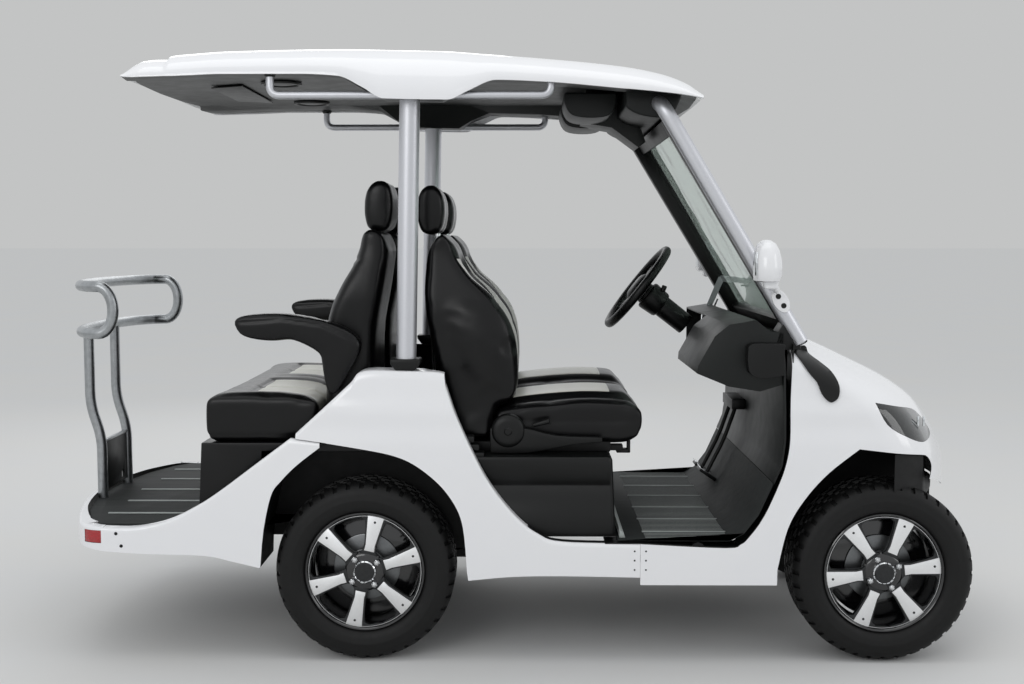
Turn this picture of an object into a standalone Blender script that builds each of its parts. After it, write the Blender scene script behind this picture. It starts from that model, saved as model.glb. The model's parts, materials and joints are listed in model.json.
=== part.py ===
# Two-plus-two electric golf cart: two forward seats, two rear-facing seats over a rear foot deck.
# Metres, +X forward, +Y to the cart's left, +Z up, ground at Z = 0.
import math

import bmesh
import bpy
from mathutils import Matrix, Vector

for old in list(bpy.data.objects):
    bpy.data.objects.remove(old, do_unlink=True)

# Clearances
GAP = 0.0003          # between pieces that seat on each other
PIN_GAP = 0.0005      # round a turning pin
WALL = 0.004          # moulded body panels
LINER_WALL = 0.003    # black inner liners

# Wheels and axles
WHEELBASE = 1.660
REAR_AXLE_X = -0.463
TYRE_RADIUS = 0.290
TYRE_WIDTH = 0.205
TYRE_FACETS = 24
WHEEL_CENTRE_Y = 0.490
RIM_RADIUS = 0.192
HUB_RADIUS = 0.034
DISC_RADIUS = 0.108
SPOKES = 6
SPINDLE_RADIUS = 0.016
KINGPIN_Y = 0.420
KINGPIN_RADIUS = 0.018
KINGPIN_HEIGHT = 0.100
STEER_ARM_X = -0.105
TIE_ROD_RADIUS = 0.010
TIE_ROD_NECK = 0.006    # threaded ends, slim enough to pass the swung arm
TIE_ROD_NECK_LENGTH = 0.035
STEER_EYE_RADIUS = 0.013
FRONT_AXLE_X = REAR_AXLE_X + WHEELBASE

# Ladder frame
RAIL_Y = 0.180
RAIL_WIDTH = 0.050
RAIL_BOTTOM = 0.318
RAIL_TOP = 0.368
RAIL_OVER_AXLE = 0.420
FRONT_SPRING = 0.520   # length of the leaf springs
REAR_SPRING = 0.620
REAR_SPRING_Y = 0.285
FRAME_REAR_X = -1.400
FRAME_FRONT_X = FRONT_AXLE_X + FRONT_SPRING / 2 + 0.005

# Body
HALF_WIDTH = 0.600
NOSE_BOW = 0.55       # the nose in plan is x = centre - NOSE_BOW * y * y
NOSE_CORNER = 0.10
TAIL_X = -1.492
TAIL_BOW = 0.35
TAIL_CORNER = 0.08
SILL_SEAM_X = 0.417
DECK_Z = 0.440
DECK_THICKNESS = 0.010
DECK_CLEARANCE = 0.004    # between the deck and the tail's top flange
DECK_HALF_WIDTH = HALF_WIDTH - 0.048
REAR_BASE_FRONT_X = -1.005
SKIN_INNER_Y = HALF_WIDTH - WALL - GAP
CROSS_RADIUS = 0.022
POD_BOTTOM = 0.4065
FLOOR_Z = 0.400
FLOOR_HALF_WIDTH = HALF_WIDTH - 0.012

# Roof and its supports
ROOF_HALF_WIDTH = 0.600
ROOF_WALL = 0.006
LINER_LIFT = 0.004    # the liner's lip above the shell's lower edge
PILLAR_RADIUS = 0.025
PILLAR_Y = 0.520
PILLAR_TOP = (0.4745, 1.785)
PILLAR_FOOT = (0.930, 1.024)
POST_RADIUS = 0.0325
POST_Y = 0.515
POST_FOOT = (-0.331, 0.945)
POST_TOP_X = -0.314
HANDLE_RADIUS = 0.012
HANDLE_Y = 0.568

# Windscreen
GLASS_THICKNESS = 0.005
SCREEN_FRAME_THICKNESS = 0.014
SCREEN_HALF_WIDTH = PILLAR_Y + 0.004
SCREEN_BORDER = 0.040
SCREEN_TOP_Z = 1.726
SCREEN_BOTTOM_Z = 1.062

# Seats
SEAT_Y = 0.270
SEAT_WIDTH = 0.440
REAR_SEAT_INNER = 0.050
REAR_SEAT_OUTER = 0.462
ARM_WIDTH = 0.066
POD_TOP = 0.660
POD_HALF_WIDTH = HALF_WIDTH - 0.044
REAR_BASE_TOP = 0.700

# Grab bar
GRAB_RADIUS = 0.017
GRAB_REAR_X = -1.495
GRAB_POST_Y = 0.140
GRAB_POST_X = GRAB_REAR_X + 0.048
GRAB_POST_CLEARANCE = 0.001    # round each post where it passes the deck

COWL_HALF_WIDTH = 0.460

STEERING_WHEEL_RADIUS = 0.175
STEERING_WHEEL_CENTRE = (0.479, 0.270, 1.172)
STEERING_TILT = math.radians(38)

# Height, nose centre x and how far each side of the front body stands in from HALF_WIDTH there
NOSE_ROWS = (
    (0.256, 1.512, 0.000),
    (0.400, 1.512, 0.000),
    (0.513, 1.512, 0.000),
    (0.569, 1.509, 0.000),
    (0.630, 1.490, 0.000),
    (0.700, 1.458, 0.003),
    (0.760, 1.424, 0.009),
    (0.810, 1.385, 0.0117),
    (0.855, 1.333, 0.020),
    (0.895, 1.269, 0.025),
    (0.932, 1.198, 0.030),
    (0.974, 1.114, 0.038),
    (1.005, 1.045, 0.045),
)

# Edges seen from the side, as x and z
SILL_LINE = ((-0.132, 0.268), (0.008, 0.281), (0.170, 0.284), (0.417, 0.280))
REAR_ARCH = (
    (-0.790, 0.308), (-0.786, 0.392), (-0.771, 0.482), (-0.752, 0.550), (-0.725, 0.586), (-0.671, 0.640),
    (-0.581, 0.709), (-0.426, 0.683), (-0.359, 0.667), (-0.311, 0.647), (-0.262, 0.614), (-0.213, 0.569),
    (-0.174, 0.515), (-0.151, 0.461), (-0.140, 0.393),
)
TAIL_LINE = ((-1.300, 0.362), (-1.177, 0.353), (-0.974, 0.347), (-0.882, 0.328), (-0.798, 0.308))
TAIL_TOP = (
    (-1.300, 0.437), (-1.196, 0.436), (-1.093, 0.457), (-1.001, 0.501), (-0.919, 0.555), (-0.816, 0.632),
    (-0.693, 0.724),
)
PANEL_SEAM = ((-0.693, 0.724), (-0.581, 0.709))
QUARTER_TOP = (
    (-0.693, 0.724), (-0.581, 0.815), (-0.505, 0.901), (-0.464, 0.935), (-0.330, 0.935), (-0.213, 0.930),
    (-0.204, 0.901), (-0.169, 0.800), (-0.119, 0.689), (-0.059, 0.577), (0.022, 0.475), (0.093, 0.419),
    (0.170, 0.394), (0.417, 0.388),
)
DOOR_FRONT = (
    (0.300, 0.388), (0.417, 0.388), (0.687, 0.376), (0.735, 0.388), (0.760, 0.410), (0.808, 0.478),
    (0.855, 0.584), (0.876, 0.650), (0.887, 0.720), (0.888, 0.820), (0.894, 0.936), (0.899, 1.020),
    (0.899, 1.200), (0.300, 1.200),
)
FRONT_ARCH = (
    (0.850, 0.150), (0.852, 0.307), (0.883, 0.439), (0.934, 0.531), (1.009, 0.617), (1.105, 0.693),
    (1.201, 0.682), (1.305, 0.670), (1.344, 0.657), (1.355, 0.624), (1.345, 0.5883), (1.390, 0.572),
    (1.470, 0.522), (1.600, 0.513), (1.600, 0.150),
)
HEADLAMP = (
    (1.183, 0.826), (1.224, 0.818), (1.310, 0.799), (1.336, 0.762), (1.352, 0.718), (1.324, 0.710),
    (1.287, 0.722), (1.231, 0.757),
)

PILLAR_SHOE = (
    (0.902, 1.040), (0.918, 0.985), (0.952, 0.930), (0.984, 0.880), (1.014, 0.845), (1.036, 0.836),
    (1.055, 0.848),
    (1.051, 0.892), (1.028, 0.953), (1.000, 1.000), (0.958, 1.060),
)

# Roof stations: x, top z, bottom edge z, liner edge y
ROOF_STATIONS = (
    (-1.235, 1.874, 1.856, 0.5883),
    (-1.205, 1.905, 1.853, 0.5848),
    (-1.150, 1.930, 1.853, 0.5883),
    (-1.050, 1.944, 1.856, 0.5883),
    (-0.891, 1.955, 1.862, 0.5883),
    (-0.643, 1.961, 1.862, 0.5883),
    (-0.520, 1.962, 1.852, 0.5883),
    (-0.450, 1.961, 1.812, 0.553),
    (-0.390, 1.960, 1.787, 0.553),
    (-0.210, 1.955, 1.783, 0.553),
    (-0.162, 1.951, 1.812, 0.553),
    (-0.090, 1.945, 1.843, 0.5883),
    (0.101, 1.931, 1.838, 0.5883),
    (0.349, 1.905, 1.817, 0.5883),
    (0.480, 1.880, 1.806, 0.5883),
    (0.560, 1.850, 1.797, 0.5848),
    (0.615, 1.808, 1.787, 0.5883),
)

# Materials: colour, roughness, metallic
FINISHES = {
    "white_body": ((0.80, 0.80, 0.79), 0.18, 0.0),
    "black_plastic": ((0.020, 0.020, 0.022), 0.55, 0.0),
    "dark_liner": ((0.030, 0.031, 0.033), 0.70, 0.0),
    "satin_tube": ((0.42, 0.43, 0.44), 0.35, 1.0),
    "black_vinyl": ((0.012, 0.012, 0.013), 0.42, 0.0),
    "floor_mat": ((0.045, 0.046, 0.048), 0.80, 0.0),
    "tyre_rubber": ((0.018, 0.018, 0.018), 0.75, 0.0),
    "alloy": ((0.62, 0.63, 0.64), 0.22, 1.0),
    "steel": ((0.10, 0.10, 0.11), 0.50, 1.0),
    "glass": ((0.45, 0.60, 0.52), 0.03, 0.0),
    "lamp_smoke": ((0.06, 0.065, 0.07), 0.08, 0.0),
    "lamp_red": ((0.42, 0.010, 0.012), 0.12, 0.0),
}

cart = bpy.data.collections.new("golf_cart")
cutters = bpy.data.collections.new("cutters")
bpy.context.scene.collection.children.link(cart)
bpy.context.scene.collection.children.link(cutters)


def finish_material(key):
    found = bpy.data.materials.get(key)
    if found:
        return found
    colour, roughness, metallic = FINISHES[key]
    made = bpy.data.materials.new(key)
    made.use_nodes = True
    shader = made.node_tree.nodes["Principled BSDF"]
    shader.inputs["Base Color"].default_value = (*colour, 1.0)
    shader.inputs["Roughness"].default_value = roughness
    shader.inputs["Metallic"].default_value = metallic
    made.diffuse_color = (*colour, 1.0)
    return made


def link_mesh(mesh, name="work"):
    obj = bpy.data.objects.new(name, mesh)
    cutters.objects.link(obj)
    obj.hide_render = True
    obj.display_type = "WIRE"
    return obj


def from_bmesh(bm, name="work"):
    mesh = bpy.data.meshes.new(name)
    bm.to_mesh(mesh)
    bm.free()
    return link_mesh(mesh, name)


def settled(obj, weld=True):
    """The object as its modifiers or bevel leave it, as a mesh at the origin; the old object goes."""
    bpy.context.view_layer.update()
    graph = bpy.context.evaluated_depsgraph_get()
    mesh = bpy.data.meshes.new_from_object(obj.evaluated_get(graph))
    mesh.transform(obj.matrix_world)
    bm = bmesh.new()
    bm.from_mesh(mesh)
    if weld:
        bmesh.ops.remove_doubles(bm, verts=bm.verts, dist=0.00002)
    bmesh.ops.recalc_face_normals(bm, faces=bm.faces)
    bm.to_mesh(mesh)
    bm.free()
    mesh.materials.clear()
    bpy.data.objects.remove(obj, do_unlink=True)
    return link_mesh(mesh)


def boolean(target, others, operation):
    """Target joined with, cut by or kept inside the other solids, which are used up."""
    for other in others:
        modifier = target.modifiers.new(operation.lower(), "BOOLEAN")
        modifier.operation = operation
        modifier.solver = "EXACT"
        modifier.object = other
    done = settled(target)
    for other in others:
        bpy.data.objects.remove(other, do_unlink=True)
    return done


def union(solids):
    return boolean(solids[0], solids[1:], "UNION")


def cut(target, *tools):
    return boolean(target, list(tools), "DIFFERENCE")


def node(solid, name, finish, pivot=None):
    """The finished solid as a named piece; a moving one gets its origin on its joint's axis."""
    if pivot:
        solid.data.transform(Matrix.Translation(Vector(pivot)).inverted())
        solid.location = pivot
    solid.name = name
    solid.data.name = name
    solid.data.materials.append(finish_material(finish))
    solid.data.shade_smooth()
    solid.data.set_sharp_from_angle(angle=math.radians(35))
    cutters.objects.unlink(solid)
    cart.objects.link(solid)
    solid.hide_render = False
    solid.display_type = "TEXTURED"
    return solid


def copy_of(solid, matrix):
    """A turned, moved or mirrored copy with its own mesh."""
    mesh = solid.data.copy()
    mesh.transform(matrix)
    if matrix.determinant() < 0:
        mesh.flip_normals()
    mesh.materials.clear()
    return link_mesh(mesh)


def other_side(solid):
    return copy_of(solid, Matrix.Scale(-1, 4, (0, 1, 0)))


def box(low, high, bevel=0.0, segments=2, tilt=0.0):
    """A block between two corners, its edges rounded, turned about Y through its middle."""
    low, high = Vector(low), Vector(high)
    bpy.ops.mesh.primitive_cube_add(size=1.0, location=(low + high) / 2)
    obj = bpy.context.object
    obj.scale = high - low
    bpy.ops.object.transform_apply(location=False, rotation=False, scale=True)
    obj.rotation_euler = (0, tilt, 0)
    if bevel:
        rounding = obj.modifiers.new("edges", "BEVEL")
        rounding.width = bevel
        rounding.segments = segments
        rounding.limit_method = "ANGLE"
    return settled(obj)


def rod(start, end, radius, sides=12, end_radius=None):
    """A round bar between two points, tapered if an end radius is given."""
    start, end = Vector(start), Vector(end)
    bpy.ops.mesh.primitive_cone_add(
        vertices=sides, radius1=radius, radius2=radius if end_radius is None else end_radius,
        depth=(end - start).length, location=(start + end) / 2,
    )
    obj = bpy.context.object
    obj.rotation_mode = "QUATERNION"
    obj.rotation_quaternion = (end - start).to_track_quat("Z", "Y")
    return settled(obj)


def rounded(points, radius, steps=5, closed=False):
    """The route through the points, with each corner an arc-like bend of about this radius."""
    points = [Vector(p) for p in points]
    route = []
    count = len(points)
    for i, corner in enumerate(points):
        if not closed and i in (0, count - 1):
            route.append(corner)
            continue
        before = points[i - 1] - corner
        after = points[(i + 1) % count] - corner
        reach = min(radius, before.length * 0.49, after.length * 0.49)
        start = corner + before.normalized() * reach
        end = corner + after.normalized() * reach
        for k in range(steps + 1):
            t = k / steps
            route.append(start * (1 - t) ** 2 + corner * 2 * t * (1 - t) + end * t * t)
    return route


def tube(points, radius, resolution=2, closed=False):
    curve = bpy.data.curves.new("route", "CURVE")
    curve.dimensions = "3D"
    curve.bevel_depth = radius
    curve.bevel_resolution = resolution
    curve.use_fill_caps = not closed
    spline = curve.splines.new("POLY")
    spline.points.add(len(points) - 1)
    for point, place in zip(spline.points, points):
        point.co = (*place, 1.0)
    spline.use_cyclic_u = closed
    obj = bpy.data.objects.new("route", curve)
    cutters.objects.link(obj)
    return settled(obj)


def outline_plate(outline, low, high, plane="XZ"):
    """A flat outline given thickness: XZ outlines run from y = low to high, XY ones from z = low to high."""
    curve = bpy.data.curves.new("outline", "CURVE")
    curve.dimensions = "2D"
    curve.fill_mode = "BOTH"
    curve.extrude = (high - low) / 2
    spline = curve.splines.new("POLY")
    spline.points.add(len(outline) - 1)
    for point, (a, b) in zip(spline.points, outline):
        point.co = (a, b, 0.0, 1.0)
    spline.use_cyclic_u = True
    obj = bpy.data.objects.new("outline", curve)
    cutters.objects.link(obj)
    middle = (low + high) / 2
    if plane == "XZ":
        obj.rotation_euler = (math.pi / 2, 0, 0)
        obj.location = (0, middle, 0)
    else:
        obj.location = (0, 0, middle)
    return settled(obj)


def softened(obj, width, segments=2, angle=40):
    rounding = obj.modifiers.new("edges", "BEVEL")
    rounding.width = width
    rounding.segments = segments
    rounding.limit_method = "ANGLE"
    rounding.angle_limit = math.radians(angle)
    return settled(obj)


def turned(profile, steps=32):
    """A profile of radius and height turned about Y, with a flat facet lowest: height runs along +Y."""
    bm = bmesh.new()
    phase = math.pi / steps
    points = [bm.verts.new((r * math.cos(phase), r * math.sin(phase), h)) for r, h in profile]
    ends = points[:1] if profile[0][0] > 0 else []
    for a, b in zip(points, points[1:] + ends):
        bm.edges.new((a, b))
    obj = from_bmesh(bm)
    screw = obj.modifiers.new("turn", "SCREW")
    screw.axis = "Z"
    screw.steps = steps
    screw.render_steps = steps
    screw.use_merge_vertices = True
    screw.merge_threshold = 0.00001
    obj.rotation_euler = (-math.pi / 2, 0, 0)
    return settled(obj)


def shell(rows, wall, inside):
    """A moulded panel through rows of points, its wall laid towards the side where the given point is."""
    bm = bmesh.new()
    grid = [[bm.verts.new(p) for p in row] for row in rows]
    for lower, upper in zip(grid, grid[1:]):
        for a, b, c, d in zip(lower, lower[1:], upper[1:], upper):
            bm.faces.new((a, b, c, d))
    bm.normal_update()
    inside = Vector(inside)
    facing = sum(f.normal.dot(f.calc_center_median() - inside) * f.calc_area() for f in bm.faces)
    if facing < 0:
        bmesh.ops.reverse_faces(bm, faces=bm.faces)
    obj = from_bmesh(bm)
    thick = obj.modifiers.new("wall", "SOLIDIFY")
    thick.thickness = wall
    thick.offset = -1.0
    thick.use_even_offset = True
    return settled(obj, weld=False)


def filled(rows):
    """The whole volume inside a stack of level rows, used to cut what sits on the panel."""
    bm = bmesh.new()
    grid = [[bm.verts.new(p) for p in row] for row in rows]
    for lower, upper in zip(grid, grid[1:]):
        for i in range(len(lower)):
            bm.faces.new((lower[i - 1], lower[i], upper[i], upper[i - 1]))
    bm.faces.new(grid[0])
    bm.faces.new(grid[-1])
    return settled(from_bmesh(bm))


def along(table, x, column=1):
    """A table's value at x, straight between its points."""
    if x <= table[0][0]:
        return table[0][column]
    for before, after in zip(table, table[1:]):
        if x <= after[0]:
            t = (x - before[0]) / (after[0] - before[0])
            return before[column] + (after[column] - before[column]) * t
    return table[-1][column]


def side_y(z):
    """Half width of the body at this height: upright low down, leaning in towards the top."""
    return HALF_WIDTH - along(NOSE_ROWS, z, 2)


# Wheels: made round the origin with the outer face at +Y, then placed
def tyre_solid():
    half = TYRE_WIDTH / 2
    bead = RIM_RADIUS - 0.008
    tread = TYRE_RADIUS / math.cos(math.pi / TYRE_FACETS)
    profile = (
        (bead + 0.001, -half + 0.020), (RIM_RADIUS + GAP, -half + 0.020), (bead + 0.026, -half + 0.004),
        (tread - 0.045, -half), (tread - 0.016, -half + 0.014), (tread, -half + 0.050),
        (tread, half - 0.050), (tread - 0.016, half - 0.014), (tread - 0.045, half),
        (bead + 0.026, half - 0.004), (RIM_RADIUS + GAP, half - 0.020), (bead + 0.001, half - 0.020),
    )
    return turned(profile, TYRE_FACETS)


def rim_solid():
    half = TYRE_WIDTH / 2
    flange = RIM_RADIUS
    barrel = RIM_RADIUS - 0.0095
    wall = 0.005
    profile = (
        (flange, half - 0.0195), (flange, half - 0.013), (flange - wall, half - 0.013),
        (barrel - wall, half - 0.028), (barrel - wall, -half + 0.028), (flange - wall, -half + 0.013),
        (flange, -half + 0.013), (flange, -half + 0.0195), (barrel, -half + 0.0198),
        (barrel, half - 0.0198),
    )
    barrel_solid = turned(profile, TYRE_FACETS)
    face = half - 0.022
    hub = turned(((0.0, face), (HUB_RADIUS, face), (HUB_RADIUS + 0.006, face - 0.010),
                  (HUB_RADIUS + 0.006, 0.012), (0.0, 0.012)), 12)
    disc = turned(((0.020, 0.018), (DISC_RADIUS, 0.018), (DISC_RADIUS, 0.010), (0.020, 0.010)), 16)
    spokes = []
    for k in range(SPOKES):
        turn = 2 * math.pi * k / SPOKES
        spoke = box((0.0370, face - 0.026, -0.021), (barrel - 0.0040, face - 0.002, 0.021))
        spokes.append(copy_of(spoke, Matrix.Rotation(turn, 4, "Y")))
        bpy.data.objects.remove(spoke, do_unlink=True)
    whole = union([barrel_solid, hub, disc] + spokes)
    bore = rod((0, -0.05, 0), (0, face - 0.030, 0), (SPINDLE_RADIUS + PIN_GAP) / math.cos(math.pi / 24), 24)
    return cut(whole, bore)


WHEELS = (
    # name, axle x, side
    ("front_left", FRONT_AXLE_X, 1),
    ("front_right", FRONT_AXLE_X, -1),
    ("rear_left", REAR_AXLE_X, 1),
    ("rear_right", REAR_AXLE_X, -1),
)


def make_wheels():
    tyre = tyre_solid()
    rim = rim_solid()
    for name, x, side in WHEELS:
        hub = (x, side * WHEEL_CENTRE_Y, TYRE_RADIUS)
        place = Matrix.Translation(hub) @ Matrix.Scale(side, 4, (0, 1, 0))
        node(copy_of(tyre, place), "tyre_" + name, "tyre_rubber", hub)
        node(copy_of(rim, place), "rim_" + name, "alloy", hub)
    for used in (tyre, rim):
        bpy.data.objects.remove(used, do_unlink=True)


SPINDLE_END_Y = WHEEL_CENTRE_Y + TYRE_WIDTH / 2 - 0.022 - 0.030 - 0.002
HUB_INNER_Y = WHEEL_CENTRE_Y + 0.010


def knuckle_solid():
    """Right-hand knuckle drawn on the left side: kingpin barrel, spindle and steering arm."""
    x, z = FRONT_AXLE_X, TYRE_RADIUS
    half = KINGPIN_HEIGHT / 2
    barrel = rod((x, KINGPIN_Y, z - half), (x, KINGPIN_Y, z + half), KINGPIN_RADIUS)
    shoulder = rod((x, KINGPIN_Y, z), (x, HUB_INNER_Y - 0.006, z), 0.028)
    spindle = rod((x, KINGPIN_Y, z), (x, SPINDLE_END_Y, z), SPINDLE_RADIUS, 24)
    arm_end = (x + STEER_ARM_X, KINGPIN_Y, z - 0.020)
    arm = rod((x, KINGPIN_Y, z - 0.020), arm_end, 0.009, 8)
    eye = rod((arm_end[0], arm_end[1], z - 0.034), (arm_end[0], arm_end[1], z - 0.008), STEER_EYE_RADIUS,
              12)
    return union([barrel, shoulder, spindle, arm, eye])


def leaf_spring(x, y, bottom, length, rise):
    """A leaf pack: a shallow arc of constant thickness seen from the side."""
    thickness = 0.022
    width = 0.050
    steps = 8
    lower = [(x - length / 2 + length * k / steps,
              bottom + rise * (2 * k / steps - 1) ** 2) for k in range(steps + 1)]
    upper = [(px, pz + thickness) for px, pz in reversed(lower)]
    return outline_plate(lower + upper, y - width / 2, y + width / 2)


def make_running_gear():
    knuckle = knuckle_solid()
    x, z = FRONT_AXLE_X, TYRE_RADIUS
    node(other_side(knuckle), "knuckle_right", "steel", (x, -KINGPIN_Y, z))
    node(knuckle, "knuckle_left", "steel", (x, KINGPIN_Y, z))
    half = KINGPIN_HEIGHT / 2
    ear = 0.012
    web = KINGPIN_Y - KINGPIN_RADIUS - 0.008
    shapes = [rod((x, -web, z), (x, web, z), 0.022)]
    for side in (-1, 1):
        inner, outer = sorted((side * (web - 0.020), side * web))
        shapes.append(box((x - 0.022, inner, z - half - ear), (x + 0.022, outer, z + half + ear)))
        tip = side * (KINGPIN_Y + 0.020)
        low, high = sorted((side * (web - 0.010), tip))
        for base in (z - half - ear, z + half + PIN_GAP):
            shapes.append(box((x - 0.020, low, base), (x + 0.020, high, base + ear - PIN_GAP)))
        spring = leaf_spring(x, side * RAIL_Y, z - 0.068, FRONT_SPRING, 0.030)
        shapes.append(spring)
        low, high = sorted((side * (RAIL_Y - 0.025), side * (RAIL_Y + 0.025)))
        shapes.append(box((x - 0.030, low, z - 0.055), (x + 0.030, high, z - 0.005)))
    node(union(shapes), "front_axle", "steel")

    tie_y = KINGPIN_Y - STEER_EYE_RADIUS - PIN_GAP
    rod_z = z - 0.020
    tie_x = x + STEER_ARM_X
    neck_y = tie_y - TIE_ROD_NECK_LENGTH
    tie = union([rod((tie_x, -tie_y, rod_z), (tie_x, tie_y, rod_z), TIE_ROD_NECK, 12),
                 rod((tie_x, -neck_y, rod_z), (tie_x, neck_y, rod_z), TIE_ROD_RADIUS, 12)])
    node(tie, "tie_rod", "steel", (tie_x, -KINGPIN_Y, rod_z))

    rx = REAR_AXLE_X
    tube_end = HUB_INNER_Y - 0.006
    shapes = [
        rod((rx, -tube_end, z), (rx, tube_end, z), 0.032),
        rod((rx, -SPINDLE_END_Y, z), (rx, SPINDLE_END_Y, z), SPINDLE_RADIUS, 24),
        turned_at(((0.0, 0.075), (0.070, 0.060), (0.105, 0.020), (0.105, -0.020), (0.070, -0.060),
                   (0.0, -0.075)), (rx, 0, z)),
        rod((rx + 0.08, 0.02, z - 0.02), (rx + 0.36, 0.02, z - 0.02), 0.080, 20),
    ]
    for side in (-1, 1):
        shapes.append(leaf_spring(rx, side * REAR_SPRING_Y, z - 0.050, REAR_SPRING, 0.040))
    node(union(shapes), "rear_axle", "steel")


def turned_at(profile, place):
    solid = turned(profile, 16)
    solid.location = place
    return settled(solid)


REAR_CROSS_X = FRAME_REAR_X + 0.03
DECK_CROSS_Z = DECK_Z - DECK_THICKNESS - GAP - CROSS_RADIUS
FRONT_CROSS_REACH = KINGPIN_Y - 0.160   # leaves room for the tyres at full lock

FRAME_CROSSES = (
    # x, y of the ends, height
    (REAR_CROSS_X, 0.45, DECK_CROSS_Z),
    (REAR_BASE_FRONT_X, SKIN_INNER_Y, DECK_CROSS_Z),
    (-0.055, SKIN_INNER_Y, POD_BOTTOM - GAP - CROSS_RADIUS),
    (0.400, SKIN_INNER_Y, 0.340),
    (0.600, SKIN_INNER_Y, FLOOR_Z - 0.006 - GAP - CROSS_RADIUS),
    (0.790, 0.30, 0.350),
    (FRAME_FRONT_X - 0.03, FRONT_CROSS_REACH, 0.345),
)


def hanger(x, y, bottom, top, width=0.044):
    """A spring hanger: a bracket from the frame down to a spring's eye."""
    return box((x - 0.018, y - width / 2, bottom), (x + 0.018, y + width / 2, top))


def make_chassis():
    shapes = []
    depth = RAIL_TOP - RAIL_BOTTOM
    over = RAIL_OVER_AXLE
    tail = 0.355
    for side in (-1, 1):
        low, high = sorted((side * (RAIL_Y - RAIL_WIDTH / 2), side * (RAIL_Y + RAIL_WIDTH / 2)))
        route = ((FRAME_REAR_X, tail), (-0.785, tail), (-0.700, over), (-0.200, over),
                 (-0.080, RAIL_BOTTOM),
                 (FRAME_FRONT_X, RAIL_BOTTOM))
        top = [(x + dx, z + depth) for (x, z), dx in reversed(list(zip(route, (0, -0.02, -0.02, 0.02, 0.02, 0))))]
        shapes.append(outline_plate(list(route) + top, low, high))
        spring_top = TYRE_RADIUS - 0.068 + 0.030 + 0.022 + GAP
        for reach in (-1, 1):
            x = FRONT_AXLE_X + reach * (FRONT_SPRING / 2 - 0.020)
            shapes.append(hanger(x, side * RAIL_Y, spring_top, RAIL_BOTTOM + 0.010))
    for x, reach, z in FRAME_CROSSES:
        shapes.append(rod((x, -reach, z), (x, reach, z), CROSS_RADIUS, 8))
    for x in (REAR_AXLE_X - REAR_SPRING / 2 + 0.020, REAR_AXLE_X + REAR_SPRING / 2 - 0.020):
        for side in (-1, 1):
            eye_top = TYRE_RADIUS - 0.050 + 0.040 + 0.022 + GAP
            shapes.append(hanger(x, side * REAR_SPRING_Y, eye_top, 0.395))
        shapes.append(rod((x, -REAR_SPRING_Y - 0.02, 0.385), (x, REAR_SPRING_Y + 0.02, 0.385), 0.022, 8))
    node(union(shapes), "chassis_frame", "steel")
    node(box((-0.030, -0.420, RAIL_TOP + GAP), (0.300, 0.420, 0.600), 0.012, 1), "battery_pack",
         "black_plastic")


def plan_nose(z):
    """One level of the front body in plan, from the left sill seam round the nose to the right one."""
    centre = along(NOSE_ROWS, z, 1)
    half = side_y(z)
    corner_x = centre - NOSE_BOW * half * half
    start_x = corner_x - NOSE_CORNER
    front_y = half - NOSE_CORNER
    front_x = centre - NOSE_BOW * front_y * front_y
    arm = [(SILL_SEAM_X + 0.0005 + (start_x - SILL_SEAM_X) * k / 5, half) for k in range(5)]
    bend = []
    for k in range(5):
        t = k / 4
        a, b, c = (1 - t) ** 2, 2 * t * (1 - t), t * t
        bend.append((start_x * a + corner_x * b + front_x * c, half * a + half * b + front_y * c))
    front = [(centre - NOSE_BOW * y * y, y) for y in (front_y * 0.66, front_y * 0.33)]
    side = arm + bend + front
    return [(x, y, z) for x, y in side] + [(centre, 0.0, z)] + [(x, -y, z) for x, y in reversed(side)]


def make_front_body():
    rows = [plan_nose(z) for z, _, _ in NOSE_ROWS]
    skin = shell(rows, WALL, (1.0, 0, 0.4))
    thick = shell([row[4:-4] for row in rows[4:11]], 0.030, (1.0, 0, 0.4))
    reach = HALF_WIDTH + 0.1
    door = outline_plate(DOOR_FRONT, -reach, reach)
    arch = outline_plate(FRONT_ARCH, -reach, reach)
    shoe = outline_plate(PILLAR_SHOE, PILLAR_Y - 0.033, 0.584)
    bulk = filled([[(x + GAP, y * (1 + 2 * GAP), z + GAP) for x, y, z in row] for row in rows])
    top, foot = Vector((PILLAR_TOP[0], PILLAR_Y, PILLAR_TOP[1])), Vector((PILLAR_FOOT[0], PILLAR_Y, PILLAR_FOOT[1]))
    shoe = cut(shoe, bulk, rod(top, foot + (foot - top).normalized() * GAP, PILLAR_RADIUS + GAP, 24))
    node(other_side(shoe), "pillar_shoe_right", "black_plastic")
    node(shoe, "pillar_shoe_left", "black_plastic")
    skin = cut(skin, door, arch)
    pockets = [outline_plate(HEADLAMP, 0.30, reach), outline_plate(HEADLAMP, -reach, -0.30)]
    skin = cut(skin, *pockets)
    node(skin, "front_body", "white_body")
    middle = Vector((sum(x for x, _ in HEADLAMP), sum(z for _, z in HEADLAMP))) / len(HEADLAMP)
    shrink = 0.992
    lens = [tuple(middle + (Vector(p) - middle) * shrink) for p in HEADLAMP]
    left = boolean(copy_of(thick, Matrix()), [outline_plate(lens, 0.30, reach)], "INTERSECT")
    bpy.data.objects.remove(thick, do_unlink=True)
    node(other_side(left), "headlamp_right", "lamp_smoke")
    node(left, "headlamp_left", "lamp_smoke")


def edge_columns(tables, low, high, spacing):
    """Where to put columns: every listed x in range, and more where they are far apart."""
    marks = sorted({round(x, 4) for table in tables for x, *_ in table if low < x < high} | {low, high})
    columns = []
    for a, b in zip(marks, marks[1:]):
        parts = max(1, math.ceil((b - a) / spacing))
        columns += [a + (b - a) * k / parts for k in range(parts)]
    return [x for i, x in enumerate(columns) if not i or x - columns[i - 1] > 0.012] + [high]


def quarter_flange(x):
    """How far the top edge returns inwards: wide at the shoulder that carries the post."""
    return along(((-0.60, 0.030), (-0.50, 0.090), (-0.275, 0.090), (-0.250, 0.045), (-0.19, 0.030)), x)


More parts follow.
